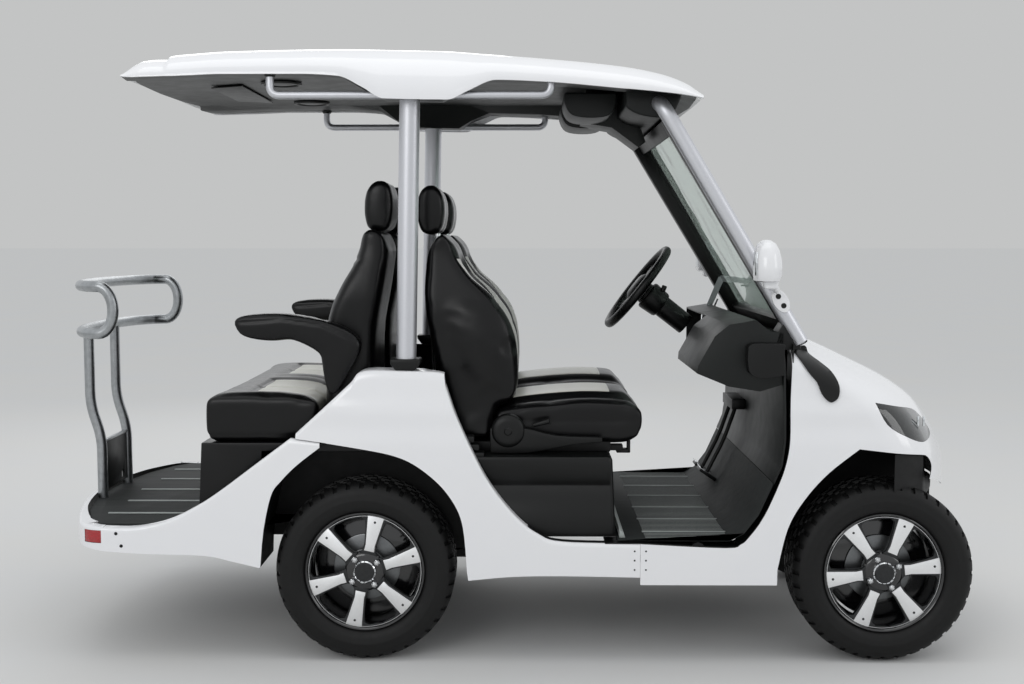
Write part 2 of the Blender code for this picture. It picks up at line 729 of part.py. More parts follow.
def make_quarters():
    lower = PANEL_SEAM + REAR_ARCH[7:] + SILL_LINE
    columns = edge_columns((lower, QUARTER_TOP), -0.676, SILL_SEAM_X - 0.0005, 0.12)
    levels = 4
    rows = [[] for _ in range(levels + 2)]
    for x in columns:
        bottom = along(lower, x) + (0.0006 if x < -0.581 else 0.0)
        top = along(QUARTER_TOP, x)
        for k in range(levels):
            z = bottom + (top - 0.012 - bottom) * k / (levels - 1)
            rows[k].append((x, side_y(z), z))
        width = side_y(top)
        rows[levels].append((x, width - 0.010, top))
        rows[levels + 1].append((x, width - 0.010 - quarter_flange(x), top + 0.0005))
    left = shell(rows, WALL, (-0.2, 0.0, 0.3))
    node(other_side(left), "rear_quarter_right", "white_body")
    node(left, "rear_quarter_left", "white_body")


def tail_plan():
    """The tail in plan on the left side, from the quarter seam back and round to the middle."""
    corner_x = TAIL_X + TAIL_BOW * HALF_WIDTH ** 2
    start_x = corner_x + TAIL_CORNER
    back_y = HALF_WIDTH - TAIL_CORNER
    back_x = TAIL_X + TAIL_BOW * back_y ** 2
    side = [(x, HALF_WIDTH) for x in reversed(
        edge_columns((TAIL_LINE, TAIL_TOP, REAR_ARCH[:7]), start_x, -0.600, 0.13)) if x > start_x + 0.01]
    bend = []
    for k in range(6):
        t = k / 5
        a, b, c = (1 - t) ** 2, 2 * t * (1 - t), t * t
        bend.append((start_x * a + corner_x * b + back_x * c, HALF_WIDTH * (a + b) + back_y * c))
    back = [(TAIL_X + TAIL_BOW * y * y, y) for y in (back_y * 0.7, back_y * 0.35)]
    return side + bend + back


def tail_flange_edge(x, y, level):
    """The inner edge of the tail's top flange beside one point of its plan."""
    inset = along(((-1.45, 0.012), (-1.36, 0.030), (-0.80, 0.030), (-0.66, 0.004)), x)
    turn = 1 - (0.008 + inset) / HALF_WIDTH
    ahead = (inset + 0.006) * min(1.0, max(0.0, (-1.300 - x) / 0.080))
    return (x + ahead, y * turn * side_y(level) / HALF_WIDTH)


def make_tail():
    upper = TAIL_TOP + PANEL_SEAM[1:]
    lower = TAIL_LINE + REAR_ARCH[:7]
    half = tail_plan()
    plan = half + [(TAIL_X, 0.0)] + [(x, -y) for x, y in reversed(half)]
    rows = [[] for _ in range(6)]
    for x, y in plan:
        back = max(0.0, -1.300 - x)
        bottom = along(lower, x) + 0.15 * back
        top = along(upper, x) + 0.10 * back
        if x > -0.693:
            top -= 0.0006
        for k in range(4):
            z = bottom + (top - 0.010 - bottom) * k / 3
            rows[k].append((x, y * side_y(z) / HALF_WIDTH, z))
        width = 1 - 0.008 / HALF_WIDTH
        rows[4].append((x + 0.006 * (abs(y) < 0.55 and x < -1.3), y * width * side_y(top) / HALF_WIDTH,
                        top))
        rows[5].append((*tail_flange_edge(x, y, top), top + 0.0005))
    corner = [[p for p in row if p[0] < -1.20 and p[1] > 0.40] for row in rows[:4]]
    lamp = boolean(shell(corner, 0.020, (-1.0, 0, 0.3)),
                   [box((-1.3595, 0.45, 0.3875), (-1.3005, 0.70, 0.4275))],
                   "INTERSECT")
    sockets = [box((-1.360, low, 0.387), (-1.300, low + 0.250, 0.428)) for low in (0.45, -0.70)]
    node(cut(shell(rows, WALL, (-1.0, 0, 0.3)), *sockets), "tail_panel", "white_body")
    node(other_side(lamp), "tail_lamp_right", "lamp_red")
    node(lamp, "tail_lamp_left", "lamp_red")


def make_roof():
    rows, liner_rows = [], []
    sweep = 5
    for x, top, bottom, edge in ROOF_STATIONS:
        half = []
        for y in (0.0, 0.22):
            half.append((y, top + 0.012 * (1 - (y / 0.40) ** 2)))
        for k in range(sweep):
            angle = math.pi / 2 * k / (sweep - 1)
            half.append((0.40 + (ROOF_HALF_WIDTH - 0.40) * math.sin(angle),
                         bottom + (top - bottom) * math.cos(angle)))
        rows.append(bowed(x, half))
    ends = (ROOF_STATIONS[0][0], ROOF_STATIONS[-1][0])
    for x, top, bottom, edge in ROOF_STATIONS[1:-1]:
        ceiling = min(1.872, top - 0.035)
        lip = bottom + LINER_LIFT
        half = [(0.0, ceiling), (0.25, ceiling), (0.43, ceiling), (0.465, lip), (edge, lip)]
        liner_rows.append(bowed(x, half))
    roof = shell(rows, ROOF_WALL, (-0.3, 0, 1.0))
    node(roof, "roof_shell", "white_body")
    liner = shell(liner_rows, LINER_WALL, (-0.3, 0, 3.0))
    console = outline_plate(((0.262, 1.8735), (0.246, 1.758), (0.352, 1.740), (0.445, 1.672),
                             (0.470, 1.690),
                             (0.430, 1.800), (0.420, 1.8580)), -0.100, 0.100)
    node(union([liner, console]), "roof_liner", "dark_liner")


def bowed(x, half):
    """A roof section across the cart, its middle pushed out towards the nearer end."""
    front, rear = 0.080, 0.050
    if x > 0.1:
        bow = front * (x - 0.1) / (ROOF_STATIONS[-1][0] - 0.1)
    elif x < -0.8:
        bow = -rear * (-0.8 - x) / (-0.8 - ROOF_STATIONS[0][0])
    else:
        bow = 0.0
    section = [(x + bow * (1 - (y / ROOF_HALF_WIDTH) ** 2), y, z) for y, z in half]
    return [(px, -y, z) for px, y, z in reversed(section[1:])] + section


def screen_point(distance, offset):
    """A point of the windscreen plane in x and z: distance down from its top edge, offset forward of it."""
    run = Vector((PILLAR_FOOT[0] - PILLAR_TOP[0], PILLAR_FOOT[1] - PILLAR_TOP[1])).normalized()
    ahead = Vector((-run.y, run.x))
    behind = PILLAR_RADIUS + GAP + SCREEN_FRAME_THICKNESS / 2
    top = Vector(PILLAR_TOP) - ahead * behind
    top += run * ((SCREEN_TOP_Z - top.y) / run.y)
    return top + run * distance + ahead * offset


def screen_piece(half_width, start, end, thickness, hole=None):
    """A flat piece in the windscreen plane, with an opening if one is given."""
    middle = screen_point((start + end) / 2, 0)
    run = (screen_point(1, 0) - screen_point(0, 0)).normalized()
    tilt = math.atan2(-run.y, run.x)
    half = (end - start) / 2
    piece = box((-half, -half_width, -thickness / 2), (half, half_width, thickness / 2), 0.0)
    if hole:
        w, h = hole
        piece = cut(piece, box((-h, -w, -thickness), (h, w, thickness)))
    turn = Matrix.Translation((middle.x, 0, middle.y)) @ Matrix.Rotation(tilt, 4, "Y")
    placed = copy_of(piece, turn)
    bpy.data.objects.remove(piece, do_unlink=True)
    return placed


def make_screen():
    down = (SCREEN_TOP_Z - SCREEN_BOTTOM_Z) / abs((screen_point(1, 0) - screen_point(0, 0)).y)
    opening = (SCREEN_HALF_WIDTH - SCREEN_BORDER, down / 2 - SCREEN_BORDER)
    node(screen_piece(SCREEN_HALF_WIDTH, 0, down, SCREEN_FRAME_THICKNESS, opening), "windscreen_frame",
         "black_plastic")
    inset = SCREEN_BORDER + GAP
    node(screen_piece(SCREEN_HALF_WIDTH - inset, inset, down - inset, GLASS_THICKNESS),
         "windscreen_glass", "glass")
    foot_x, foot_z = PILLAR_FOOT
    top_x, top_z = PILLAR_TOP
    route = rounded(((foot_x, -PILLAR_Y, foot_z), (top_x, -PILLAR_Y, top_z), (top_x, PILLAR_Y, top_z),
                     (foot_x, PILLAR_Y, foot_z)), 0.060)
    node(tube(route, PILLAR_RADIUS, 4), "front_hoop", "satin_tube")


def make_posts():
    top = along(ROOF_STATIONS, POST_TOP_X + POST_RADIUS, 2) + LINER_LIFT - GAP
    shapes = [rod((POST_FOOT[0], POST_Y, POST_FOOT[1]), (POST_TOP_X, POST_Y, top), POST_RADIUS, 16)]
    foot = box((POST_FOOT[0] - 0.048, POST_Y - 0.045, 0.9358),
               (POST_FOOT[0] + 0.048, POST_Y + 0.033, 0.972), 0.010)
    post = union(shapes + [foot])
    node(other_side(post), "rear_post_right", "satin_tube")
    node(post, "rear_post_left", "satin_tube")


def make_handles():
    ends = (-0.675, 0.055)
    z = 1.800
    tops = [along(ROOF_STATIONS, x, 2) + LINER_LIFT - 2 * GAP for x in ends]
    route = rounded(((ends[0], HANDLE_Y, tops[0]), (ends[0], HANDLE_Y, z), (ends[1], HANDLE_Y, z),
                     (ends[1], HANDLE_Y, tops[1])), 0.030, 4)
    handle = tube(route, HANDLE_RADIUS)
    node(other_side(handle), "roof_handle_right", "satin_tube")
    node(handle, "roof_handle_left", "satin_tube")


def make_floor():
    wall = 0.006
    top = ((0.345, FLOOR_Z), (0.700, FLOOR_Z), (0.745, 0.425), (0.790, 0.485), (0.835, 0.585))
    under = [(x + 0.004 * (z > FLOOR_Z), z - wall) for x, z in reversed(top)]
    node(outline_plate(top + tuple(under), -FLOOR_HALF_WIDTH, FLOOR_HALF_WIDTH), "floor_pan", "floor_mat")
    front_x = REAR_BASE_FRONT_X - 3 * GAP
    side = [(front_x, DECK_HALF_WIDTH)]
    for x, y in tail_plan():
        if x < -1.280:
            edge = Vector(tail_flange_edge(x, y, DECK_Z))
            inward = (Vector((front_x, 0)) - edge).normalized() * DECK_CLEARANCE
            side.append((edge.x + inward.x, min(edge.y + inward.y, DECK_HALF_WIDTH)))
    middle = (tail_flange_edge(TAIL_X, 0.0, DECK_Z)[0] + DECK_CLEARANCE, 0.0)
    # an open notch in the rear edge lets each post of the grab bar through to the frame
    reach = GRAB_RADIUS + GRAB_POST_CLEARANCE
    lean = (side[-1][0] - middle[0]) / side[-1][1]
    notch = [(GRAB_POST_X + reach * math.sin(a), GRAB_POST_Y + reach * math.cos(a))
             for a in (math.pi * k / 8 for k in range(9))]
    ends = [(middle[0] + lean * y, y) for y in (GRAB_POST_Y + reach, GRAB_POST_Y - reach)]
    side += [ends[0]] + notch + [ends[1]]
    outline = side + [middle] + [(x, -y) for x, y in reversed(side)]
    deck = outline_plate(outline, DECK_Z - DECK_THICKNESS, DECK_Z, "XY")
    node(deck, "rear_deck", "floor_mat")


def inside_nose():
    """The space within the front body's skin."""
    shrink = 1 - (WALL + GAP) / HALF_WIDTH - 0.0008
    return filled([[(x - 0.010 * (x > 1.0), y * shrink, z) for x, y, z in plan_nose(level)]
                   for level, _, _ in NOSE_ROWS])


def make_dash():
    """Dash, leg shield, cowl and column cover: one dark moulding, open towards the space under the hood."""
    wall = 0.004
    face = ((0.600, 0.925), (0.602, 0.950), (0.655, 1.045), (0.700, 1.082), (0.785, 1.096), (0.830, 1.0605),
            (0.872, 1.0565), (0.872, 0.890), (0.800, 0.868), (0.700, 0.884))
    hollow = ((0.604, 0.929), (0.606, 0.949), (0.658, 1.0415), (0.7015, 1.078), (0.7845, 1.0915),
              (0.829, 1.0562),
              (0.890, 1.0450), (0.890, 0.900), (0.868, 0.895), (0.800, 0.872), (0.701, 0.888))
    dash = cut(outline_plate(face, -0.535, 0.535), outline_plate(hollow, -0.531, 0.531))
    shield = outline_plate(((0.8355, 0.5853), (0.858, 0.640), (0.8685, 0.720), (0.8685, 0.985),
                            (0.875, 0.985),
                            (0.875, 0.720), (0.864, 0.638), (0.8395, 0.5815)), -HALF_WIDTH - 0.02,
                            HALF_WIDTH + 0.02)
    shield = cut(boolean(shield, [inside_nose()], "INTERSECT"),
                 box((0.860, -0.500, 0.905), (0.880, 0.500, 0.975)))
    hood_edge = [p for p in plan_nose(NOSE_ROWS[-1][0]) if abs(p[1]) < COWL_HALF_WIDTH]
    edge = [(x - 0.0030, y, z - 0.0004) for x, y, z in hood_edge]
    foot = [(0.866, y, 1.0565) for x, y, z in hood_edge]
    cowl = shell([edge, foot], wall, (0.9, 0, 0.0))
    x, y, z = STEERING_WHEEL_CENTRE
    along_column = Vector((math.cos(STEERING_TILT), 0, -math.sin(STEERING_TILT)))
    start = Vector((x, y, z)) + along_column * (0.028 + PIN_GAP)
    end = Vector((x, y, z)) + along_column * 0.240
    node(union([dash, shield, cowl, rod(start, end, 0.032, 12)]), "dash", "dark_liner")
    rim = tube([Vector((STEERING_WHEEL_RADIUS * math.cos(a), STEERING_WHEEL_RADIUS * math.sin(a), 0))
                for a in (2 * math.pi * k / 28 for k in range(28))], 0.015, 2, True)
    hub = rod((0, 0, -0.028), (0, 0, 0.012), 0.052, 18, 0.040)
    spokes = [box((0.02, -0.016, -0.014), (STEERING_WHEEL_RADIUS, 0.016, -0.002))]
    for angle in (140, 220):
        spoke = box((0.02, -0.014, -0.014), (STEERING_WHEEL_RADIUS, 0.014, -0.002))
        spokes.append(copy_of(spoke, Matrix.Rotation(math.radians(angle), 4, "Z")))
        bpy.data.objects.remove(spoke, do_unlink=True)
    wheel = union([rim, hub] + spokes)
    turn = (-along_column).to_track_quat("Z", "Y").to_matrix().to_4x4()
    placed = copy_of(wheel, Matrix.Translation((x, y, z)) @ turn)
    bpy.data.objects.remove(wheel, do_unlink=True)
    node(placed, "steering_wheel", "black_plastic", STEERING_WHEEL_CENTRE)


def wheelhouses(front_x, top, grow):
    """Blocks that clear the rear wheels on both sides, a wall larger for the hollow inside."""
    rear_x = -0.800 if front_x > -0.2 else front_x
    found = []
    for side in (-1, 1):
        low, high = sorted((side * (0.355 - grow), side * 0.700))
        found.append(box((rear_x - grow, low, 0.200),
                         (front_x + grow + (0.5 if rear_x == front_x else 0), high, top + grow)))
    return found


def make_seats():
    pod = outline_plate(((-0.330, 0.380), (0.343, 0.380), (0.330, POD_TOP), (-0.330, POD_TOP)),
                        -POD_HALF_WIDTH, POD_HALF_WIDTH)
    pod = cut(softened(pod, 0.012), box((-1, -1, 0.3), (1, 1, POD_BOTTOM)),
              *wheelhouses(-0.100, 0.645, 0.0))
    hollow = outline_plate(((-0.322, 0.300), (0.334, 0.300), (0.322, POD_TOP - 0.008),
                            (-0.322, POD_TOP - 0.008)),
                           -POD_HALF_WIDTH + 0.008, POD_HALF_WIDTH - 0.008)
    hollow = cut(hollow, *wheelhouses(-0.100, 0.645, 0.008))
    notch = box((-0.345, -0.225, 0.395), (-0.305, 0.225, 0.500))
    node(cut(pod, hollow, notch), "seat_pod", "black_plastic")

    low, high = SEAT_Y - SEAT_WIDTH / 2, SEAT_Y + SEAT_WIDTH / 2
    cushion = outline_plate(((-0.060, 0.695), (0.379, 0.695), (0.440, 0.725), (0.447, 0.800),
                             (0.378, 0.822),
                             (0.245, 0.828), (-0.060, 0.800)), low, high)
    cushion = softened(cushion, 0.022)
    rail = box((-0.180, SEAT_Y - 0.19, POD_TOP + GAP), (0.330, SEAT_Y + 0.19, 0.6945))
    recliner = rod((-0.010, high + GAP, 0.736), (-0.010, high + 0.030, 0.736), 0.055, 20)
    bracket = box((-0.060, high + GAP, 0.664), (0.060, high + 0.022, 0.720))
    link = box((-0.060, SEAT_Y + 0.10, 0.664), (0.060, high + 0.010, 0.688))
    base = union([rail, link, bracket, recliner])
    back = outline_plate(((0.008, 0.8150), (0.022, 0.860), (0.019, 0.996), (0.000, 1.071), (-0.032, 1.131),
                          (-0.075, 1.184), (-0.129, 1.238), (-0.172, 1.300), (-0.205, 1.364),
                          (-0.240, 1.345),
                          (-0.262, 1.300), (-0.266, 1.107), (-0.195, 0.790), (-0.175, 0.6948),
                          (-0.0603, 0.6948),
                          (-0.0603, 0.8095)),
                         low, high)
    back = softened(back, 0.010, 1)
    head = box((-0.305, SEAT_Y - 0.125, 1.385), (-0.215, SEAT_Y + 0.125, 1.530), 0.030, 1)
    stalks = [rod((-0.232, SEAT_Y + s * 0.05, 1.30), (-0.255, SEAT_Y + s * 0.05, 1.42), 0.007,
                  8) for s in (-1, 1)]
    back = union([back, head] + stalks)
    for side, solids in (("right", [other_side(s) for s in (cushion, base, back)]),
                         ("left", (cushion, base, back))):
        for solid, name, finish in zip(solids, ("front_cushion_", "seat_frame_", "front_backrest_"),
                                       ("black_vinyl", "black_plastic", "black_vinyl")):
            node(solid, name + side, finish)

    base_bottom = DECK_Z - DECK_THICKNESS
    base = outline_plate(((REAR_BASE_FRONT_X, base_bottom), (-0.560, base_bottom), (-0.470, 0.560),
                          (-0.440, REAR_BASE_TOP),
                          (-0.991, REAR_BASE_TOP)), -0.535, 0.535)
    base = cut(base, *wheelhouses(-0.795, 0.672, 0.0))
    hollow = outline_plate(((REAR_BASE_FRONT_X + 0.008, 0.400), (-0.560, 0.400), (-0.480, 0.560),
                            (-0.452, REAR_BASE_TOP - 0.008),
                            (-0.984, REAR_BASE_TOP - 0.008)), -0.527, 0.527)
    hollow = cut(hollow, *wheelhouses(-0.795, 0.672, 0.008))
    notch = box((-0.640, -0.225, 0.395), (-0.420, 0.225, 0.500))
    node(cut(base, hollow, notch), "rear_seat_base", "black_vinyl")
    rest = outline_plate(((-0.980, REAR_BASE_TOP + 2 * GAP), (-0.606, REAR_BASE_TOP + 2 * GAP),
                          (-0.606, 0.835),
                          (-0.760, 0.852), (-0.972, 0.845), (-0.990, 0.800)), -0.540, 0.540)
    node(softened(rest, 0.018), "rear_cushion", "black_vinyl")
    back = outline_plate(((-0.600, REAR_BASE_TOP + GAP), (-0.604, 0.900), (-0.600, 1.080), (-0.556, 1.192),
                          (-0.513, 1.267), (-0.486, 1.315), (-0.474, 1.372), (-0.430, 1.372),
                          (-0.400, 1.335),
                          (-0.423, 1.203), (-0.451, 1.011), (-0.445, REAR_BASE_TOP + GAP)),
                          REAR_SEAT_INNER, REAR_SEAT_OUTER)
    back = softened(back, 0.018, 1)
    head = box((-0.485, 0.135, 1.395), (-0.385, 0.377, 1.548), 0.030, 1)
    stalks = [rod((-0.440, y, 1.30), (-0.437, y, 1.42), 0.007, 8) for y in (0.206, 0.306)]
    back = union([back, head] + stalks)
    node(other_side(back), "rear_backrest_right", "black_vinyl")
    node(back, "rear_backrest_left", "black_vinyl")
    arm = outline_plate(((-0.874, 1.089), (-0.844, 1.050), (-0.760, 1.032), (-0.697, 1.018),
                         (-0.618, 0.979),
                         (-0.602, 0.947), (-0.582, 0.868), (-0.560, 0.846), (-0.529, 0.883),
                         (-0.470, 1.000),
                         (-0.496, 1.060), (-0.601, 1.102), (-0.732, 1.121), (-0.811, 1.121),
                         (-0.858, 1.112)),
                        REAR_SEAT_OUTER + GAP, REAR_SEAT_OUTER + ARM_WIDTH)
    arm = softened(arm, 0.014, 1)
    node(other_side(arm), "rear_armrest_right", "black_vinyl")
    node(arm, "rear_armrest_left", "black_vinyl")


def make_grab_bar():
    rear = GRAB_REAR_X
    low, high = 1.041, 1.197
    half = [(rear, 0.0), (rear + 0.012, 0.150), (rear + 0.045, 0.285), (rear + 0.110, 0.375)]
    end = (rear + 0.165, 0.392)
    top = [Vector((x, y, high)) for x, y in half]
    bottom = [Vector((x, y, low)) for x, y in half]
    turn = [Vector((end[0] + 0.016 * math.sin(a), end[1],
                    (low + high) / 2 + (high - low) / 2 * math.cos(a)))
            for a in (math.pi * k / 6 for k in range(7))]
    left = top[1:] + turn + list(reversed(bottom[1:]))
    flip = Matrix.Scale(-1, 4, (0, 1, 0))
    loop = [top[0]] + left + [bottom[0]] + [flip @ p for p in reversed(left)]
    shapes = [tube(loop, GRAB_RADIUS, 2, True)]
    for side in (-1, 1):
        y = side * GRAB_POST_Y
        route = rounded(((rear + 0.011, y, low), (rear + 0.011, y, 0.770), (GRAB_POST_X, y, 0.655),
                         (GRAB_POST_X, y, DECK_CROSS_Z - 0.006)), 0.05, 3)
        shapes.append(tube(route, GRAB_RADIUS - 0.001))
        shapes.append(box((GRAB_POST_X - 0.012, y - 0.012, DECK_CROSS_Z - 0.006),
                          (REAR_CROSS_X - CROSS_RADIUS - GAP, y + 0.012, DECK_CROSS_Z + 0.006)))
    plate = box((rear + 0.042, -GRAB_POST_Y, DECK_Z + 0.020), (rear + 0.054, GRAB_POST_Y, 0.640))
    node(union(shapes + [plate]), "rear_grab_bar", "satin_tube")


def make_liners():
    """Black arch liners that follow the panels' arch edges just inside the skin."""
    outer = SKIN_INNER_Y - 0.006
    for name, arch, middle, depth in (("rear", REAR_ARCH, REAR_AXLE_X, 0.028),
                                      ("front", FRONT_ARCH[1:9], 1.100, 0.090)):
        grown = []
        for reach in (0.004, 0.004 + LINER_WALL):
            line = []
            for x, z in arch:
                away = Vector((x - middle, z - 0.250)).normalized() * reach
                line.append((x + away.x, z + away.y))
            grown.append(line)
        if name == "front":
            liner = outline_plate(grown[0] + grown[1][::-1], outer - depth, HALF_WIDTH)
            liner = boolean(liner, [inside_nose()], "INTERSECT")
        else:
            liner = outline_plate(grown[0] + grown[1][::-1], outer - depth, outer)
        node(other_side(liner), name + "_liner_right", "dark_liner")
        node(liner, name + "_liner_left", "dark_liner")


def make_mirrors():
    """Door mirrors on a bent arm clamped to the outside of the pillar."""
    clamp = box((0.838, PILLAR_Y + PILLAR_RADIUS + GAP, 1.120), (0.882, 0.572, 1.172), 0.006, 1)
    arm = tube(rounded(((0.860, 0.560, 1.150), (0.850, 0.640, 1.170), (0.800, 0.655, 1.270)), 0.030, 3),
               0.009)
    housing = box((0.762, 0.590, 1.225), (0.822, 0.720, 1.352), 0.018, 2, -0.12)
    mirror = union([clamp, arm, housing])
    node(other_side(mirror), "mirror_right", "white_body")
    node(mirror, "mirror_left", "white_body")


def make_pedals():
    """Brake and accelerator on one hanger that is bolted to the leg shield."""
    shapes = [box((0.820, 0.120, 0.722), (0.8682, 0.340, 0.760))]
    for low, high in ((0.130, 0.215), (0.260, 0.325)):
        middle = (low + high) / 2
        shapes.append(tube(rounded(((0.845, middle, 0.735), (0.800, middle, 0.600),
                                    (0.735, middle, 0.474)), 0.08, 3), 0.008))
        shapes.append(box((0.700, low, 0.468), (0.770, high, 0.480), 0.0, 1, 0.60))
    node(union(shapes), "pedals", "black_plastic")


make_wheels()
make_running_gear()
make_chassis()
make_front_body()
make_quarters()
make_tail()
make_roof()
make_screen()
make_posts()
make_handles()
make_floor()
make_dash()
make_seats()
make_grab_bar()
make_liners()
make_mirrors()
make_pedals()
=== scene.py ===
# Golf cart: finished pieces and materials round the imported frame
import json
import math

import bpy
from mathutils import Matrix, Vector

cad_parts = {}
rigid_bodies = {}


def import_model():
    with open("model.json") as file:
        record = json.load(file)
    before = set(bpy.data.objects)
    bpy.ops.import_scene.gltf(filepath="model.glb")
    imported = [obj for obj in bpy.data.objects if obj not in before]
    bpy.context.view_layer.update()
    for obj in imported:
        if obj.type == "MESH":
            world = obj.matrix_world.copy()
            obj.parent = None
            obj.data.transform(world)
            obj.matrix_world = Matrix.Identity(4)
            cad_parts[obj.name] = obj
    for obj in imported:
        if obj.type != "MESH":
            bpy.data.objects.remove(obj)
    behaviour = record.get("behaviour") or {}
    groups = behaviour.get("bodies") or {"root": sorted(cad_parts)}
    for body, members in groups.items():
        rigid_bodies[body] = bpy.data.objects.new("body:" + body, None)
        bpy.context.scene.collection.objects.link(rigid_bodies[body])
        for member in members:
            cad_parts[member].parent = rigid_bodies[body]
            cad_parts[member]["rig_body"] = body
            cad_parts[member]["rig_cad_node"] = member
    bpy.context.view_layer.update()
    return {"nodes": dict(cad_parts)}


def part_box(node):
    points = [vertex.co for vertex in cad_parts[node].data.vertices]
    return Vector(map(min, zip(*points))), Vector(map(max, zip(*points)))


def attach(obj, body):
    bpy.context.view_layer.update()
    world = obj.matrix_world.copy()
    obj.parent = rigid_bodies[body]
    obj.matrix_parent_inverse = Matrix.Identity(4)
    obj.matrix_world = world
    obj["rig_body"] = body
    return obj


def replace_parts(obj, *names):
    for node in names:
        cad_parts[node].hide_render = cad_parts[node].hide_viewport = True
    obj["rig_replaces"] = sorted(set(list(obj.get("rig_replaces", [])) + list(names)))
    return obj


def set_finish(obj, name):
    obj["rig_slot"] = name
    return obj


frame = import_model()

turnBy = Matrix.Rotation
flipSides = Matrix.Scale(-1, 4, (0, 1, 0))


# small tools for picking, shaping and finishing a piece
def objectMode():
    bpy.ops.object.mode_set(mode="OBJECT")


def deselectAll():
    if bpy.context.mode != "OBJECT":
        objectMode()
    bpy.ops.object.select_all(action="DESELECT")


def pick(piece):
    deselectAll()
    piece.select_set(True)
    bpy.context.view_layer.objects.active = piece


def applyModifier(piece, kind, **settings):
    pick(piece)
    modifier = piece.modifiers.new("step", kind)
    for key, value in settings.items():
        setattr(modifier, key, value)
    bpy.ops.object.modifier_apply(modifier=modifier.name)
    return piece


def editAll(piece):
    pick(piece)
    bpy.ops.object.mode_set(mode="EDIT")
    bpy.ops.mesh.select_all(action="SELECT")


def recalculate(piece):
    editAll(piece)
    bpy.ops.mesh.remove_doubles(threshold=0.00002)
    bpy.ops.mesh.normals_make_consistent(inside=False)
    objectMode()
    return piece


def bevelEdges(piece, width, segments=2, angle=35):
    return applyModifier(piece, "BEVEL", width=width, segments=segments, limit_method="ANGLE",
        angle_limit=math.radians(angle))


def finishPiece(piece, name, material, slot, body="chassis", instead=(), angle=40):
    pick(piece)
    bpy.ops.object.transform_apply(location=True, rotation=True, scale=True)
    piece.name = name
    piece.data.name = name
    if material:
        dress(piece, material)
    bpy.ops.object.shade_smooth_by_angle(angle=math.radians(angle))
    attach(piece, body)
    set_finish(piece, slot)
    if instead:
        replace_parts(piece, *instead)
    return piece


def discard(*pieces):
    for piece in pieces:
        bpy.data.objects.remove(piece, do_unlink=True)


def placedCopy(piece, matrix):
    twin = piece.copy()
    twin.data = piece.data.copy()
    twin.parent = None
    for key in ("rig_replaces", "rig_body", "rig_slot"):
        if key in twin:
            del twin[key]
    bpy.context.scene.collection.objects.link(twin)
    twin.data.transform(matrix)
    if matrix.determinant() < 0:
        twin.data.flip_normals()
    return twin


def otherSide(piece, name, instead=()):
    twin = placedCopy(piece, flipSides)
    return finishPiece(twin, name, None, piece["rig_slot"], piece["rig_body"], instead)


def pairOf(piece, name, first, material, slot, node="", angle=40):
    # the piece on its own side, then its mirror image, each in place of its own node if there is one
    second = "Left" if first == "Right" else "Right"
    stands = [(node + side.lower(),) if node else () for side in (first, second)]
    made = finishPiece(piece, name + first, material, slot, "chassis", stands[0], angle)
    otherSide(made, name + second, stands[1])


def joined(pieces):
    deselectAll()
    for piece in pieces:
        piece.select_set(True)
    bpy.context.view_layer.objects.active = pieces[0]
    bpy.ops.object.join()
    return pieces[0]


def dress(piece, material):
    piece.data.materials.clear()
    piece.data.materials.append(material)
    return piece


# shapes that come back in many pieces
def mm(*rows):
    # a table of lengths that are written in millimetres
    return tuple(tuple(length / 1000 for length in row) for row in rows)


def boxBetween(low, high, bevel=0.0, segments=2, tilt=0.0):
    middle = [(a + b) / 2 for a, b in zip(low, high)]
    deselectAll()
    bpy.ops.mesh.primitive_cube_add(size=1, location=middle, rotation=(0, tilt, 0))
    piece = bpy.context.object
    piece.scale = [abs(b - a) for a, b in zip(low, high)]
    pick(piece)
    bpy.ops.object.transform_apply(location=True, rotation=True, scale=True)
    return bevelEdges(piece, bevel, segments) if bevel else piece


def rodBetween(start, end, radius, sides=24, endRadius=None, bevel=0.0):
    start, end = Vector(start), Vector(end)
    deselectAll()
    bpy.ops.mesh.primitive_cone_add(vertices=sides, radius1=radius, depth=(end - start).length,
        radius2=radius if endRadius is None else endRadius, location=(start + end) / 2)
    piece = bpy.context.object
    piece.rotation_mode = "QUATERNION"
    piece.rotation_quaternion = (end - start).to_track_quat("Z", "Y")
    pick(piece)
    bpy.ops.object.transform_apply(location=True, rotation=True, scale=True)
    return bevelEdges(piece, bevel, 2) if bevel else piece


def outlinePiece(outline, low, high, plane="XZ"):
    deselectAll()
    bpy.ops.mesh.primitive_circle_add(vertices=len(outline), fill_type="NGON")
    piece = bpy.context.object
    for vertex, (a, b) in zip(piece.data.vertices, outline):
        vertex.co = (a, low, b) if plane == "XZ" else (a, b, low)
    step = (0, high - low, 0) if plane == "XZ" else (0, 0, high - low)
    editAll(piece)
    bpy.ops.mesh.extrude_region_move(TRANSFORM_OT_translate={"value": step})
    return recalculate(piece)


def gridPiece(columns, rows, place):
    deselectAll()
    bpy.ops.mesh.primitive_grid_add(x_subdivisions=columns, y_subdivisions=rows, size=2)
    piece = bpy.context.object
    for vertex in piece.data.vertices:
        vertex.co = place((vertex.co.x + 1) / 2, (vertex.co.y + 1) / 2)
    return piece


def giveWall(piece, wall, inside):
    inside = Vector(inside)
    piece.data.update()
    facing = sum(f.normal.dot(f.center - inside) * f.area for f in piece.data.polygons)
    if facing < 0:
        editAll(piece)
        bpy.ops.mesh.flip_normals()
        objectMode()
    return applyModifier(piece, "SOLIDIFY", thickness=wall, offset=-1, use_even_offset=True)


